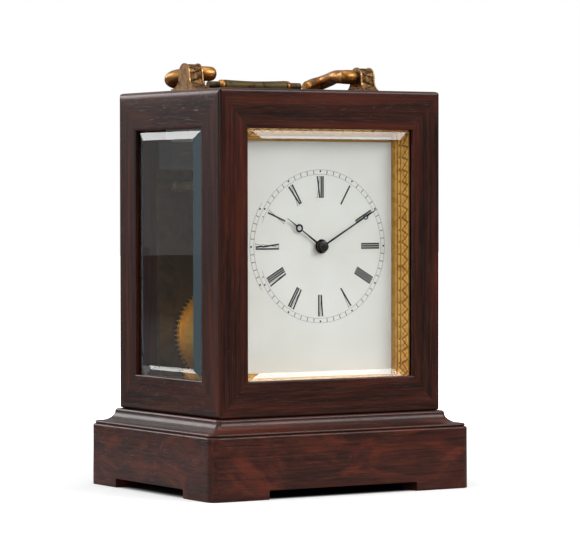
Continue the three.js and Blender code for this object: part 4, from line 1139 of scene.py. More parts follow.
@dataclass
class BackDoor:
    """The glazed door in the back, with its knob and hinges."""

    half: float = 38.7
    bottom: float = 27.4
    top: float = 132.9
    stile: float = 11.4
    window: tuple[float, float] = (39.7, 125.6)
    face_y: float = 35.5
    arris: float = 0.5
    hinge_x: float = 39.15
    leaf_width: float = 3.1
    leaf_face: float = 0.78
    hinge_height: float = 14.0
    hinge_levels: tuple[float, float] = (43.4, 102.9)
    screw_radius: float = 0.75
    first_seed: int = 60

    def frame(self) -> None:
        """The door's four boards, their outer edges eased."""
        rails = (self.window[0] - self.bottom, self.top - self.window[1])
        stiles = (self.stile, self.stile)
        wall = FrameWall(self.half, self.bottom, self.top, stiles, rails, (False, False))
        middle, tall = (self.bottom + self.top) / 2, (self.top - self.bottom) / 2
        boards = wall.boards().items()
        for seed, (part, (grid, upright)) in enumerate(boards, self.first_seed):
            grid[..., 1] -= self.face_y
            grid = quarter_turned(grid, Side.BACK)
            grid = rounded_edge(grid, 0, 1, (self.half, self.face_y), self.arris)
            grid = rounded_edge(grid, 1, 2, (self.face_y, tall), self.arris, middle)
            name = f"door_{part}"
            wood = ROSEWOOD.make(name, Grain.UPRIGHT if upright else Grain.ACROSS, seed)
            place(Surface().shell(grid).make(name, wood), "door", ROSEWOOD.slot, "door_frame")

    def knob(self, gilt: bpy.types.Material) -> None:
        """A small turned knob: a plate, a neck and a rounded head.

        Args:
            gilt: the gilt finish.
        """
        x, _, z = middle_of("door_knob")
        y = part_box("door_knob")[0].y / MM
        profile = np.array([
            [0, 0], [2.1, 0], [2.1, 0.3], [1.9, 0.5], [1.1, 0.6], [0.95, 1.0], [1.05, 1.5],
            [1.7, 1.9], [2.1, 2.4], [2.2, 2.9], [2.05, 3.4], [1.5, 3.9], [0.8, 4.15], [0, 4.2],
        ])
        piece = Surface().shell(turned(profile, (x, y, z), 1), caps=False).make("knob", gilt)
        place(piece, "door", GILT.slot, "door_knob")

    def hinge_screws(self, steel: bpy.types.Material) -> None:
        """Two small screw heads in every leaf.

        Args:
            steel: the steel finish.
        """
        for body, sign in (("case", 1), ("door", -1)):
            heads = Surface()
            for level in self.hinge_levels:
                for share in (0.22, 0.78):
                    x = self.hinge_x + sign * (1.5 + self.leaf_width / 2)
                    centre = (x, self.face_y + self.leaf_face, level + share * self.hinge_height)
                    head = screw_head(centre, 1, 1, self.screw_radius, 30 + 70 * share)
                    heads.shell(head, caps=False)
            place(heads.make(f"hinge_screws_{body}", steel), body, STEEL.slot)

    def build(self, brass: bpy.types.Material, gilt: bpy.types.Material,
              steel: bpy.types.Material) -> None:
        """Builds the door and dresses its hinges.

        Args:
            brass: the brass finish.
            gilt: the gilt finish.
            steel: the steel finish.
        """
        self.frame()
        self.knob(gilt)
        self.hinge_screws(steel)
        for level in ("lower", "upper"):
            for leaf in ("case", "door"):
                dress(f"{level}_hinge_{leaf}_leaf", brass)


# ------------------------------------------------------------------ dial


@dataclass(frozen=True)
class Stroke:
    """A straight stroke of a figure: sideways in millimetres, upwards as a share of its height."""

    start: tuple[float, float]
    end: tuple[float, float]
    half: float


THICK = 0.285
FINE = 0.075
LETTERS: dict[str, tuple[float, tuple[Stroke, ...]]] = {
    "I": (0.74, (Stroke((0, 0), (0, 1), THICK),)),
    "V": (1.36, (Stroke((-0.42, 1), (0.1, 0), THICK), Stroke((0.56, 1), (0.1, 0), FINE))),
    "X": (1.42, (Stroke((-0.45, 1), (0.45, 0), THICK), Stroke((0.55, 1), (-0.55, 0), FINE))),
}
NUMBERS = ("XII", "I", "II", "III", "IIII", "V", "VI", "VII", "VIII", "IX", "X", "XI")


@dataclass(frozen=True)
class Hand:
    """A moon hand: thin tapering blades with a domed section, a ring and a fine point.

    It stands at an angle in degrees clockwise from twelve; ring is the ring's place and
    radius, hub the hub's radius and its bore's, and level the Y of the underside.
    """

    name: str
    body: str
    node: str
    degrees: float
    length: float
    ring: tuple[float, float]
    hub: tuple[float, float]
    level: float
    rise: tuple[float, ...] = (0.08, 0.3, 0.38, 0.3, 0.08, 0.0)

    def _standing(self, centre_z: float, along: Array, side: Array) -> Array:
        """Turns places along and beside the hand, six rows of them, into the dial's.

        Args:
            centre_z: the height of the dial's centre.
            along: distances from the centre.
            side: distances from the hand's middle line.

        Returns:
            A grid of points.
        """
        turn = math.radians(self.degrees)
        x = along * math.sin(turn) + side * math.cos(turn)
        z = along * math.cos(turn) - side * math.sin(turn)
        rise = np.array(self.rise)[:, None] * np.ones(x.shape[1])
        return np.stack([x, self.level - rise, centre_z + z], -1)

    def _blade(self, centre_z: float, start: float, end: float, first: float,
               last: float) -> Array:
        """A tapering bar whose section is a flattened hexagon.

        Args:
            centre_z: the height of the dial's centre.
            start, end: where it begins and ends.
            first, last: half of its width at each.

        Returns:
            A grid of points.
        """
        along = np.linspace(start, end, 12)
        half = np.linspace(first, last, 12)
        side = np.array([-1, -0.75, 0, 0.75, 1, 0])[:, None] * half
        return self._standing(centre_z, np.broadcast_to(along, side.shape), side)

    def _loop(self, centre_z: float, centre: float, middle: float, half: float) -> Array:
        """A ring with a domed section.

        Args:
            centre_z: the height of the dial's centre.
            centre: the ring's place along the hand.
            middle: its middle radius.
            half: half of its width.

        Returns:
            A grid of points.
        """
        angle = np.arange(40) * 2 * np.pi / 40
        reach = middle + half * np.array([-1, -0.6, 0, 0.6, 1, 0])[:, None]
        along, side = centre + reach * np.cos(angle), reach * np.sin(angle)
        return self._standing(centre_z, along, side)

    def build(self, centre_z: float, blued: bpy.types.Material) -> None:
        """Makes the hand.

        Args:
            centre_z: the height of the dial's centre.
            blued: its finish.
        """
        at, radius = self.ring
        outer, bore = self.hub
        made = Surface()
        made.shell(self._blade(centre_z, bore + 0.15, at - radius + 0.12, 0.36, 0.2))
        made.shell(self._blade(centre_z, at + radius - 0.12, self.length, 0.3, 0.05))
        for centre, middle, half in ((at, radius * 0.78, radius * 0.22),
                                     (0, (outer + bore) / 2, (outer - bore) / 2)):
            grid = self._loop(centre_z, centre, middle, half)
            made.shell(grid, wrap_columns=True, caps=False)
        place(made.make(self.name, blued), self.body, BLUED.slot, self.node)


HANDS = (
    Hand("hour_pointer", "hour_pipe", "hour_hand", -55, 17.0, (11.05, 1.45), (2.5, 1.85), -27.3),
    Hand("minute_pointer", "centre_arbor", "minute_hand", 60, 25.7, (20.3, 1.0), (2.1, 1.25),
         -28.1),
)


@dataclass
class Dial:
    """Enamel plate, figures, minute marks, gilt surround and hands."""

    centre_z: float = 85.2
    face_y: float = -26.5
    foot: float = 16.8
    head: float = 24.2
    serif_reach: float = 0.4
    serif_half: float = 0.055
    dot_ring: float = 26.0
    ring_inside: float = 1.05
    ring_outside: float = 0.5
    ring_half: float = 0.05
    tick_gap: float = 0.1
    tick_half: float = 0.15
    ink: float = 0.035
    sunk: float = 0.01
    slip_front: float = -32.0
    slip_depth: float = 5.5
    slip_half: float = 36.2
    slip_bottom: float = 37.1
    slip_top: float = 128.2
    slip_base: float = 0.35
    zigzag_pitch: float = 4.7
    cut_depth: float = 0.22
    steps_per_mm: float = 4.0

    def _bar(self, angle: float, start: tuple[float, float], end: tuple[float, float],
             half: float) -> Array:
        """A flat bar on the dial between two places given sideways and outwards.

        Args:
            angle: clockwise from twelve, in radians.
            start, end: sideways and distance from the centre.
            half: half its width.

        Returns:
            A grid of four corners by two depths.
        """
        corners = np.array([start, start, end, end], float)
        corners[:, 0] += half * np.array([-1, 1, 1, -1])
        x = corners[:, 0] * math.cos(angle) + corners[:, 1] * math.sin(angle)
        z = -corners[:, 0] * math.sin(angle) + corners[:, 1] * math.cos(angle)
        grid = np.empty((4, 2, 3))
        grid[..., 0] = x[:, None]
        grid[..., 1] = np.array([self.face_y - self.ink, self.face_y + self.sunk])
        grid[..., 2] = self.centre_z + z[:, None]
        return grid

    def figures(self, ink: bpy.types.Material) -> None:
        """Twelve Roman figures whose feet point to the centre, with hairline serifs.

        Args:
            ink: the figures' black.
        """
        made = Surface()
        high = self.head - self.foot
        for hour, number in enumerate(NUMBERS):
            angle = math.radians(30 * hour)
            width = sum(LETTERS[letter][0] for letter in number)
            left = -width / 2
            for letter in number:
                advance, strokes = LETTERS[letter]
                middle = left + advance / 2
                left += advance
                ends = set()
                for stroke in strokes:
                    start = (middle + stroke.start[0], self.foot + high * stroke.start[1])
                    end = (middle + stroke.end[0], self.foot + high * stroke.end[1])
                    made.shell(self._bar(angle, start, end, stroke.half))
                    ends |= {start, end}
                for side, level in ends:
                    if letter == "V" and level == self.foot:
                        continue
                    low = level - self.serif_half if level > self.foot else level
                    high_end = (side, low + 2 * self.serif_half)
                    made.shell(self._bar(angle, (side, low), high_end, self.serif_reach))
        place(made.make("dial_figures", ink), "case", FIGURE_BLACK.slot)

    def minutes(self, ink: bpy.types.Material, grey: bpy.types.Material) -> None:
        """A dot at every fifth minute, a short tick at the others, and two fine circles.

        Args:
            ink: the figures' black.
            grey: the minute marks' grey.
        """
        dots, ticks, circles = Surface(), Surface(), Surface()
        inside, outside = self.dot_ring - self.ring_inside, self.dot_ring + self.ring_outside
        for radius in (inside, outside):
            near, far = radius - self.ring_half, radius + self.ring_half
            profile = np.array([[near, self.sunk], [far, self.sunk],
                                [far, -self.ink], [near, -self.ink]])
            centre = (0, self.face_y, self.centre_z)
            circles.shell(turned(profile, centre, 1, 240), wrap_columns=True, caps=False)
        base = self.sunk
        dome = np.array([[0, base], [0.36, base], [0.34, -0.03], [0.2, -0.055], [0, -0.06]])
        for minute in range(60):
            angle = math.radians(6 * minute)
            if minute % 5:
                start, end = (0, inside + self.tick_gap), (0, outside - self.tick_gap)
                ticks.shell(self._bar(angle, start, end, self.tick_half))
            else:
                x, z = self.dot_ring * math.sin(angle), self.dot_ring * math.cos(angle)
                centre = (x, self.face_y, self.centre_z + z)
                dots.shell(turned(dome, centre, 1, 16), caps=False)
        place(dots.make("five_minute_dots", ink), "case", FIGURE_BLACK.slot)
        place(ticks.make("minute_ticks", grey), "case", MINUTE_GREY.slot)
        place(circles.make("minute_circles", grey), "case", MINUTE_GREY.slot)

    def slip(self, gilt: bpy.types.Material) -> None:
        """The gilt surround: a mitred section round the dial with a cut zigzag on its slope.

        The slope sinks by a narrow bell curve about each of two zigzags and two straight lines; its
        outer edge is painted dark, a painted shade next to the frame.

        Args:
            gilt: the gilt finish.
        """
        slope = np.linspace(0, 1, 34)
        insets = {"side": (2.6, 5.5, 6.75), "low": (2.6, 4.2, 4.7), "high": (2.6, 5.6, 6.7)}

        def rows(kind: str) -> Array:
            """Inset of every row of the section.

            Args:
                kind: side, low or high.

            Returns:
                One inset for each row.
            """
            edge, inner, last = insets[kind]
            face = edge + (inner - edge) * slope
            return np.concatenate([[0, edge - 0.3], face, [inner + 0.15, last, last, 0]])

        deep = self.slip_depth
        face = (deep - 1.1) * slope
        depth = np.concatenate([[0, 0], face, [deep - 0.9, deep - 0.5, deep, deep]])
        depth = depth + self.slip_front
        side, low, high = rows("side"), rows("low"), rows("high")
        corners = np.stack([
            np.stack([-self.slip_half + side, self.slip_bottom + low], -1),
            np.stack([self.slip_half - side, self.slip_bottom + low], -1),
            np.stack([self.slip_half - side, self.slip_top - high], -1),
            np.stack([-self.slip_half + side, self.slip_top - high], -1),
        ], axis=1)
        columns, places = [], []
        for corner in range(4):
            start, end = corners[:, corner], corners[:, (corner + 1) % 4]
            length = float(np.abs(end[0] - start[0]).max())
            share = np.linspace(0, 1, int(length * self.steps_per_mm), endpoint=False)
            part = share[None, :, None]
            columns.append(start[:, None] * (1 - part) + end[:, None] * part)
            places.append(share * length - length / 2)
        flat = np.concatenate(columns, axis=1)
        depth = np.broadcast_to(depth[:, None], flat.shape[:2])
        grid = np.stack([flat[..., 0], depth, flat[..., 1]], -1)
        turns = np.concatenate(places)[None] / self.zigzag_pitch
        across = slope[:, None]

        def groove(middle: Array | float, wide: float) -> Array:
            """A bell curve of the distance from a groove's middle, over its width."""
            return np.exp(-(((across - middle) / wide) ** 2))

        broad = np.abs((turns % 1) * 2 - 1)
        narrow = np.abs(((turns + 0.5) % 1) * 2 - 1) * 0.6 + 0.2
        cut = groove(0.2 + 0.56 * broad, 0.085)
        fine = groove(0.2 + 0.56 * narrow, 0.04) * 0.6
        borders = groove(0.07, 0.04) + groove(0.91, 0.04)
        engraved = np.minimum(cut + fine + borders, 1)
        sloping = slice(2, 2 + len(slope))
        grid[sloping, :, 1] += self.cut_depth * engraved
        hollow = np.full(grid.shape[:2], self.slip_base)
        # painted shade: the outer front rows, and the slope towards its outer edge, take the full
        # dark of the cuts
        hollow[:2] = 1.0
        hollow[sloping] = np.maximum(0.78 * engraved, 1 - across / 0.12)
        made = Surface().shell(grid, wrap_columns=True, caps=False, hollow=hollow)
        place(made.make("slip", gilt, 60), "case", GILT.slot, "dial_slip")

    def collet(self, steel: bpy.types.Material) -> None:
        """The domed cap that holds the minute hand, and the arbor's rounded end in it.

        Args:
            steel: the steel finish.
        """
        centre = (0, self.face_y, self.centre_z)
        cap = np.array([[0.75, -2.1], [1.9, -2.1], [1.9, -2.35], [1.75, -2.62], [1.3, -2.82],
                        [0.75, -2.9]])
        ring = Surface().shell(turned(cap, centre, 1, 40), wrap_columns=True, caps=False)
        place(ring.make("collet", steel), "centre_arbor", STEEL.slot, "hand_collet")
        nose = np.array([[0.0, -3.12], [0.3, -3.11], [0.58, -3.04], [0.74, -2.85], [0.74, -2.2],
                         [0, -2.2]])
        tip = Surface().shell(turned(nose, centre, 1, 24), caps=False)
        place(tip.make("arbor_tip", steel), "centre_arbor", STEEL.slot)

    def build(self, blued: bpy.types.Material, steel: bpy.types.Material) -> None:
        """Builds everything that shows through the front glass.

        Args:
            blued: the blued steel finish.
            steel: the steel finish.
        """
        ink, grey = FIGURE_BLACK.make(), MINUTE_GREY.make()
        dress("dial_plate", Enamel().make())
        self.figures(ink)
        self.minutes(ink, grey)
        self.slip(ENGRAVED_GILT.make())
        for hand in HANDS:
            hand.build(self.centre_z, blued)
        self.collet(steel)


# ------------------------------------------------------------------ handle


@dataclass
class CarryingHandle:
    """Two engraved brackets, two curved arms and a turned grip, folded down to the back."""

    pivot_z: float = 145.3
    top_z: float = 139.2
    inner: float = 32.5
    outer: float = 38.5
    foot_half: float = 9.0
    foot_edge: float = 0.8
    neck_half: float = 3.7
    neck_rise: float = 3.6
    roll: float = 3.5
    facet_pitch: float = 2.6
    facet_depth: float = 0.3
    border: float = 0.75
    arm_x: float = 28.8
    reach: float = 22.3
    grip_y: float = 16.5
    grip_drop: float = 3.2
    knurl: tuple[float, float] = (15.0, 19.2)

    def bracket(self, name: str, sign: int, bronze: bpy.types.Material) -> None:
        """A bell-shaped bracket: its outline is carried across its width.

        Along the outline the surface falls and rises as a zigzag of flat facets between two
        raised borders.

        Args:
            name: the piece's name.
            sign: plus one for the right, minus one for the left.
            bronze: its finish.
        """
        flare, foot = self.foot_half - self.neck_half, self.pivot_z - self.top_z
        rise, edge = self.neck_rise, self.foot_edge
        turn = np.radians(np.linspace(270, 180, 22))
        right = np.stack([self.foot_half + flare * np.cos(turn),
                          -foot + edge + rise + rise * np.sin(turn)], 1)
        upright = np.array([[self.foot_half, -foot + 0.02], [self.foot_half, -foot + 0.5]])
        top_turn = np.radians(np.linspace(0, 180, 36))
        top = np.stack([np.cos(top_turn), np.sin(top_turn)], 1) * self.roll
        half = np.concatenate([upright, right, top[:18]])
        outline = np.concatenate([half, half[::-1] * np.array([-1, 1])])
        step = np.gradient(outline, axis=0)
        normal = np.stack([step[:, 1], -step[:, 0]], 1)
        normal /= np.maximum(np.linalg.norm(normal, axis=1, keepdims=True), 1e-9)
        steps = np.linalg.norm(np.diff(outline, axis=0), axis=1)
        length = np.concatenate([[0], np.cumsum(steps)])
        right_half = np.array([0, 0.2, 0.4, 0.6, 0.74, 0.8, 0.86, 0.95, 0.985, 1.0])
        across = np.concatenate([-right_half[:0:-1], right_half])
        wave = np.abs(((length / self.facet_pitch) % 1) * 2 - 1)[:, None]
        inside = np.abs(across)[None] < self.border
        zigzag = np.abs(across[None] / self.border - (2 * wave - 1)) < 0.34
        sunk = np.where(inside, self.facet_depth + 0.2 * zigzag, 0.0)
        sunk = sunk + np.where(np.abs(across)[None] > 0.97, 0.12, 0.0)
        keep = (outline[:, 1] > -foot + 0.6)[:, None]
        sunk = np.where(keep, sunk, 0.0)
        y = outline[:, :1] - normal[:, :1] * sunk
        z = outline[:, 1:] - normal[:, 1:] * sunk + self.pivot_z
        x = (self.inner + self.outer) / 2 + across * (self.outer - self.inner) / 2
        grid = np.stack([np.broadcast_to(sign * x, y.shape), y, z], -1)
        made = Surface().shell(grid, hollow=np.clip(sunk / 0.5, 0, 1) * 0.9)
        place(made.make(name, bronze, 20), "case", BRONZE.slot, f"handle_{name}")

    def arm(self, name: str, sign: int, gold: bpy.types.Material) -> None:
        """A curved arm: a tube of changing thickness from the eye round the shoulder to the grip.

        Args:
            name: the piece's name.
            sign: plus one for the right, minus one for the left.
            gold: its finish.
        """
        knots = np.array([
            [self.arm_x, -0.4, 0.0, 2.5],
            [self.arm_x, 1.6, 0.05, 2.5],
            [self.arm_x + 0.4, 8, 0.3, 2.4],
            [self.inner - 0.8, 16.5, -0.4, 2.45],
            [self.inner - 1.2, self.reach - 1.0, -1.4, 2.5],
            [self.inner - 4.6, self.reach - 0.6, -2.4, 2.55],
            [self.inner - 7.8, self.grip_y + 2.2, -self.grip_drop + 0.1, 2.5],
            [22.6, self.grip_y, -self.grip_drop, 2.35],
            [21.2, self.grip_y - 0.3, -self.grip_drop, 1.75],
        ])
        route = smooth_path(knots, 80)
        path = route[:, :3] * np.array([sign, 1, 1]) + np.array([0, 0, self.pivot_z])
        made = Surface().shell(tube(path, route[:, 3], 28))
        eye = np.array([
            [0, 25.9], [0.8, 25.95], [1.5, 26.1], [2.0, 26.45], [2.35, 27.0], [2.52, 27.8],
            [2.58, 29.0], [2.58, 31.2], [2.4, 31.65], [1.9, 31.8], [0, 31.8],
        ])
        eye[:, 1] *= sign
        made.shell(turned(eye, (0, 0, self.pivot_z), 0, 36), caps=False)
        place(made.make(name, gold, 40), "handle", HANDLE_GOLD.slot, f"handle_{name}")

    def grip(self, bronze: bpy.types.Material, gold: bpy.types.Material) -> None:
        """The grip: an eight-sided waisted bar, knurled necks and a gilt ring at each end.

        The bar's radius is its profile over the cosine of the angle from each flat's middle.

        Args:
            bronze: the bronze finish.
            gold: the arms' gilt finish.
        """
        centre = (0, self.grip_y, self.pivot_z - self.grip_drop)
        half = np.array([[1.75, 0], [1.8, 4], [1.95, 8], [2.1, 11.5], [2.15, 12.6], [1.7, 13.0]])
        bar = np.concatenate([half[:0:-1] * np.array([1, -1]), half])
        bar = np.concatenate([[[0, bar[0, 1]]], bar, [[0, bar[-1, 1]]]])
        grid = turned(bar, (0, 0, 0), 0, 64)
        angle = np.arange(64) * 2 * np.pi / 64
        facet = (angle + np.pi / 8) % (np.pi / 4) - np.pi / 8
        flat = 0.35 + 0.65 * math.cos(math.pi / 8) / np.cos(facet)
        grid[..., 1:] *= flat[:, None, None]
        made, rings = Surface().shell(grid + np.array(centre), caps=False), Surface()
        start, end = self.knurl
        ridge = np.linspace(0, 1, 46)
        radius = 1.28 + 0.14 * np.abs(np.sin(ridge * np.pi * 9))
        neck = np.stack([np.concatenate([[0], radius, [0]]),
                         np.concatenate([[start], start + ridge * (end - start), [end]])], 1)
        ring = np.array([[0, 12.95], [1.7, 12.95], [1.95, 13.1], [2.05, 13.4], [2.05, 13.8],
                         [1.85, 14.3], [1.5, 14.9], [0, 15.1]])
        for sign in (-1, 1):
            made.shell(turned(neck * np.array([1, sign]), centre, 0, 28), caps=False)
            rings.shell(turned(ring * np.array([1, sign]), centre, 0, 36), caps=False)
        place(made.make("grip", bronze, 28), "handle", BRONZE.slot, "handle_grip")
        place(rings.make("grip_rings", gold), "handle", HANDLE_GOLD.slot)

    def build(self, bronze: bpy.types.Material, gold: bpy.types.Material,
              steel: bpy.types.Material) -> None:
        """Builds both sides and the grip.

        Args:
            bronze: the bronze finish.
            gold: the arms' gilt finish.
            steel: the steel finish.
        """
        for side, sign in (("right", 1), ("left", -1)):
            self.bracket(f"bracket_{side}", sign, bronze)
            self.arm(f"arm_{side}", sign, gold)
            dress(f"handle_pin_{side}", steel)
        self.grip(GRIP_BRONZE.make(), gold)


# ------------------------------------------------------------------ movement


@dataclass
class Movement:
    """Plates, train, barrel and platform; the wheels keep their own solids."""

    plate_back: float = 21.4
    plate_front: float = -21.0
    platform_top: float = 114.4
    rim_z: float = 118.35
    timing_screws: int = 12
    pillars: tuple[str, ...] = (
        "lower_pillar_left", "lower_pillar_right", "upper_pillar_left", "upper_pillar_right",
    )
    brass_nodes: tuple[str, ...] = (
        "intermediate_wheel", "centre_wheel", "third_wheel", "contrate_wheel", "minute_wheel",
        "hour_wheel", "escape_bridge", "balance_cock",
    )
    steel_nodes: tuple[str, ...] = (
        "mainspring", "barrel_arbor", "ratchet_wheel", "click", "cannon_pinion", "escape_wheel",
        "pallet_fork",
    )

    def screws(self, steel: bpy.types.Material) -> None:
        """Slotted heads on both plates, the platform, the cock, the bridge and the click.

        Args:
            steel: the steel finish.
        """
        plates = Surface()
        for node in self.pillars:
            x, _, z = middle_of(node)
            plates.shell(screw_head((x, self.plate_back, z), 1, 1, 2.1, 35 + x), caps=False)
            plates.shell(screw_head((x, self.plate_front, z), 1, -1, 1.8, 60 + z), caps=False)
        place(plates.make("pillar_screws", steel), "case", STEEL.slot)
        small = Surface()
        for node, share in (("balance_cock", 0.8), ("escape_bridge", 0.18)):
            low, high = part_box(node)
            x, _, _ = middle_of(node)
            y = (low.y + (high.y - low.y) * share) / MM
            small.shell(screw_head((x, y, high.z / MM), 2, 1, 1.2, 20 + 90 * share), caps=False)
        low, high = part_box("platform")
        for x in (low.x / MM + 3, high.x / MM - 3):
            for y in (-17.0, 17.0):
                head = screw_head((x, y, self.platform_top), 2, 1, 1.3, 10 * x + y)
                small.shell(head, caps=False)
        place(small.make("platform_screws", steel), "case", STEEL.slot)
        low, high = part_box("click")
        head = screw_head((low.x / MM + 1.4, high.y / MM, low.z / MM + 2.9), 1, 1, 1.2, 40)
        screw = Surface().shell(head, caps=False).make("click_screw", steel)
        place(screw, "click_body", STEEL.slot)

    def balance_screws(self, gilt: bpy.types.Material) -> None:
        """Small timing screws that stand out round the balance rim, evenly spaced.

        Args:
            gilt: the gilt finish.
        """
        x, y, _ = middle_of("balance_wheel")
        profile = np.array([[0, 6.9], [0.36, 6.9], [0.36, 7.7], [0.3, 7.85], [0, 7.9]])
        grid = turned(profile, (0, 0, 0), 0, 10)
        made = Surface()
        for step in range(self.timing_screws):
            angle = 2 * math.pi * (step + 0.5) / self.timing_screws
            gx = grid[..., 0] * math.cos(angle) - grid[..., 1] * math.sin(angle)
            gy = grid[..., 0] * math.sin(angle) + grid[..., 1] * math.cos(angle)
            made.shell(np.stack([gx + x, gy + y, grid[..., 2] + self.rim_z], -1), caps=False)
        place(made.make("balance_screws", gilt), "balance", GILT.slot)

    def click_spring(self, steel: bpy.types.Material) -> None:
        """A thin curved blade that presses on the click, held by one screw.

        Args:
            steel: the steel finish.
        """
        low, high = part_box("click")
        x, z, y = low.x / MM, high.z / MM, high.y / MM - 0.8
        root_x, root_z = x - 7.5, z - 11.5
        knots = np.array([[root_x, y, root_z], [x - 5.2, y, z - 6.0], [x - 2.6, y, z - 2.2],
                          [x + 0.4, y, z + 0.45]])
        route = smooth_path(knots, 30)
        made = Surface().shell(tube(route, np.linspace(0.42, 0.26, 30), 10))
        foot = np.array([[0, -0.2], [1.5, -0.2], [1.5, 0.6], [0, 0.6]])
        made.shell(turned(foot, (root_x, y, root_z), 1, 24), caps=False)
        made.shell(screw_head((root_x, y + 0.6, root_z), 1, 1, 1.05, 70), caps=False)
        place(made.make("click_spring", steel), "case", STEEL.slot)

    def build(self, brass: bpy.types.Material, gilt: bpy.types.Material,
              steel: bpy.types.Material, blued: bpy.types.Material) -> None:
        """Dresses the movement and adds its screws.

        Args:
            brass: the brass finish.
            gilt: the gilt finish.
            steel: the steel finish.
            blued: the blued steel finish.
        """
        # The barrel takes the brighter brass, a painted highlight.
        dress("barrel", HIGHLIGHTED_BARREL_BRASS.make())
        # The plates and pillars take the darker brass, a painted shade.
        dull = SHADED_PLATE_BRASS.make()
        for node in ("front_plate", "back_plate", *self.pillars):
            dress(node, dull)
        for node in self.brass_nodes:
            dress(node, brass)
        for node in self.steel_nodes:
            dress(node, steel)
        dress("platform", SILVERED.make())
        dress("balance_wheel", gilt)
        dress("balance_spring", blued)
        self.screws(blued)
        self.balance_screws(gilt)
        self.click_spring(steel)


# ------------------------------------------------------------------ studio


@dataclass(frozen=True)
class Lamp:
    """A soft rectangular lamp: its place and size in metres, and its power in watts."""

    name: str
    spot: tuple[float, float, float]
    size: tuple[float, float]
    power: float
    colour: Colour = (1.0, 1.0, 1.0)


LAMPS = (
    Lamp("key", (0.95, -1.3, 0.95), (0.9, 0.75), 14.4),
    Lamp("side", (-1.5, -0.85, 0.465), (0.7, 0.7), 3.0),
    Lamp("rim", (-0.47, 0.24, 0.15), (0.17, 0.3), 0.24, (0.62, 0.86, 1.0)),
    Lamp("back", (-0.68, 1.4, 0.62), (0.9, 0.5), 6.5),
    Lamp("overhead", (-0.1, -0.25, 1.5), (1.6, 1.4), 12.0),
)


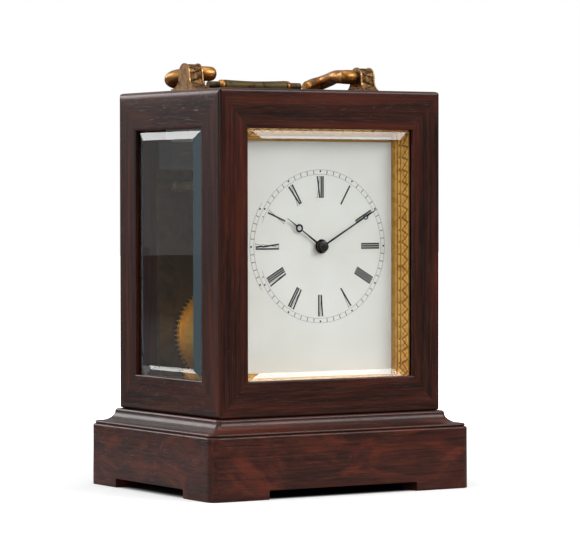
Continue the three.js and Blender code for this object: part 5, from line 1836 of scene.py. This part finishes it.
@dataclass
class Studio:
    """A plain pale floor, soft lights and the camera; lengths here are metres."""

    yaw: float = 31.618
    pitch: float = 1.448
    roll: float = 0.066
    distance: float = 1.08565
    target_z: float = 0.073817
    target_side: float = 0.004071
    lens: float = 190.26
    sensor: float = 36
    aim: tuple[float, float, float] = (0, 0, 0.08)
    half_floor: float = 4.0
    # half the clock's footprint in metres; within it the floor is painted dark as its shadow
    foot: tuple[float, float] = (0.0527, 0.0432)
    left_side: float = 0.24
    right_side: float = 0.02
    ceiling: float = 0.45

    def camera(self) -> None:
        """Places the camera by its turn, tilt and roll about the target."""
        yaw, pitch = math.radians(self.yaw), math.radians(self.pitch)
        level = math.cos(pitch)
        ahead = Vector((math.sin(yaw) * level, math.cos(yaw) * level, -math.sin(pitch)))
        right = ahead.cross(Vector((0, 0, 1))).normalized()
        up = right.cross(ahead)
        roll = Matrix.Rotation(math.radians(-self.roll), 3, "Z")
        turn = Matrix((right, up, -ahead)).transposed() @ roll
        target = Vector((0, 0, self.target_z)) + right * self.target_side
        made = bpy.data.objects.new("camera", bpy.data.cameras.new("camera"))
        made.data.lens = self.lens
        made.data.sensor_width = self.sensor
        made.matrix_world = Matrix.Translation(target - ahead * self.distance) @ turn.to_4x4()
        bpy.context.scene.collection.objects.link(made)
        bpy.context.scene.camera = made

    def floor(self) -> None:
        """A wide, slightly uneven pale sheet, with a painted shadow beneath the clock.

        Away from the clock it glows brighter to the eye, a painted light, and in reflections its
        colour is painted darker, a painted shade.
        """
        sh = Shader.material("floor_paper")
        here = sh.placed((1, 1, 1))
        cloud = sh.noise(sh.placed((3, 3, 3)), 3, 0.5)
        seen = sh.node("ShaderNodeLightPath", {}, {}, "Is Camera Ray")
        spot = sh.node("ShaderNodeVectorMath", {"operation": "LENGTH"}, {0: here}, "Value")
        paper = sh.mix(cloud, (0.9, 0.9, 0.9), (0.94, 0.94, 0.94))
        sides = [sh.maths("ABSOLUTE", part, 0) for part in sh.parts(here)]
        out = sh.maths("MAXIMUM", sides[0] - self.foot[0], sides[1] - self.foot[1])
        # painted shadow: the floor's colour turns dark brown within the footprint, seen through the
        # gap between the feet
        beyond_painted_shadow = sh.step(out, -0.006, 0.0008)
        # painted shade: in reflections the floor's colour falls from grey beside the clock to near
        # black farther off
        room = sh.mix(sh.step(spot, 0.14, 0.34), (0.34, 0.34, 0.34), (0.04, 0.04, 0.04))
        surface = sh.surface({
            "Base Color": sh.mix(beyond_painted_shadow, shade(34, 26, 20), sh.mix(seen, room, paper)),
            "Roughness": 0.85,
            "Emission Color": (1, 1, 1),
            # painted light: the floor glows for the camera outside the painted shadow, faintly
            # beside the clock and strongly farther off
            "Emission Strength": seen * beyond_painted_shadow * (0.16 + 0.9 * sh.step(spot, 0.09, 0.24)),
        })
        edge = np.linspace(-self.half_floor, self.half_floor, 5)
        x, y = np.meshgrid(edge, edge)
        points = np.stack([x, y, np.zeros_like(x)], -1).reshape(-1, 3)
        mesh = bpy.data.meshes.new("floor")
        mesh.from_pydata(points.tolist(), [], grid_faces(5, 5, False, False).tolist())
        mesh.materials.append(sh.done(surface))
        made = bpy.data.objects.new("floor", mesh)
        bpy.context.scene.collection.objects.link(made)

    def world(self) -> None:
        """White where the camera looks, and a soft grey room in every reflection.

        The room's brightness is a ramp from its right wall to its left one, plus another from
        the horizon up to the ceiling.
        """
        sh = Shader(bpy.data.worlds.new("studio"))
        white = (1, 1, 1)
        way = sh.parts(sh.node("ShaderNodeTexCoord", {}, {}, "Generated"))
        walls = sh.step(way[0], 0.5, -0.4, self.right_side, self.left_side)
        above = sh.step(way[2], 0.06, 0.3, 0.0, self.ceiling)
        kind = "ShaderNodeBackground"
        room = sh.node(kind, {}, {"Color": white, "Strength": walls + above})
        backdrop = sh.node(kind, {}, {"Color": white, "Strength": 1.0})
        seen = sh.node("ShaderNodeLightPath", {}, {}, "Is Camera Ray")
        mixed = sh.node("ShaderNodeMixShader", {}, {0: seen, 1: room, 2: backdrop})
        bpy.context.scene.world = sh.done(mixed)

    def lights(self) -> None:
        """Soft rectangular lamps that all face the clock."""
        aim = Vector(self.aim)
        for lamp in LAMPS:
            light = bpy.data.lights.new(lamp.name, "AREA")
            light.shape = "RECTANGLE"
            light.size, light.size_y = lamp.size
            light.energy = lamp.power
            light.color = lamp.colour
            made = bpy.data.objects.new(lamp.name, light)
            made.location = lamp.spot
            made.rotation_euler = (aim - Vector(lamp.spot)).to_track_quat("-Z", "Y").to_euler()
            bpy.context.scene.collection.objects.link(made)

    def build(self) -> None:
        """Builds the studio."""
        self.camera()
        self.floor()
        self.world()
        self.lights()
        bpy.context.scene.view_settings.view_transform = "Standard"


def main() -> None:
    """Builds every sub-assembly in order."""
    logging.basicConfig(level=logging.INFO, format="%(message)s")
    gilt, brass, steel, blued = GILT.make(), BRASS.make(), STEEL.make(), BLUED.make()
    bronze, gold, dark = BRONZE.make(), HANDLE_GOLD.make(), DARK_STEEL.make()
    Studio().build()
    WoodenCase().build()
    BackDoor().build(brass, gilt, steel)
    glass = ClearGlass().make()
    for node in ("front_glass", "left_glass", "right_glass", "door_glass"):
        dress(node, glass, flat=True)
    Dial().build(blued, dark)
    CarryingHandle().build(bronze, gold, steel)
    Movement().build(brass, gilt, steel, blued)


if __name__ == "__main__":
    main()
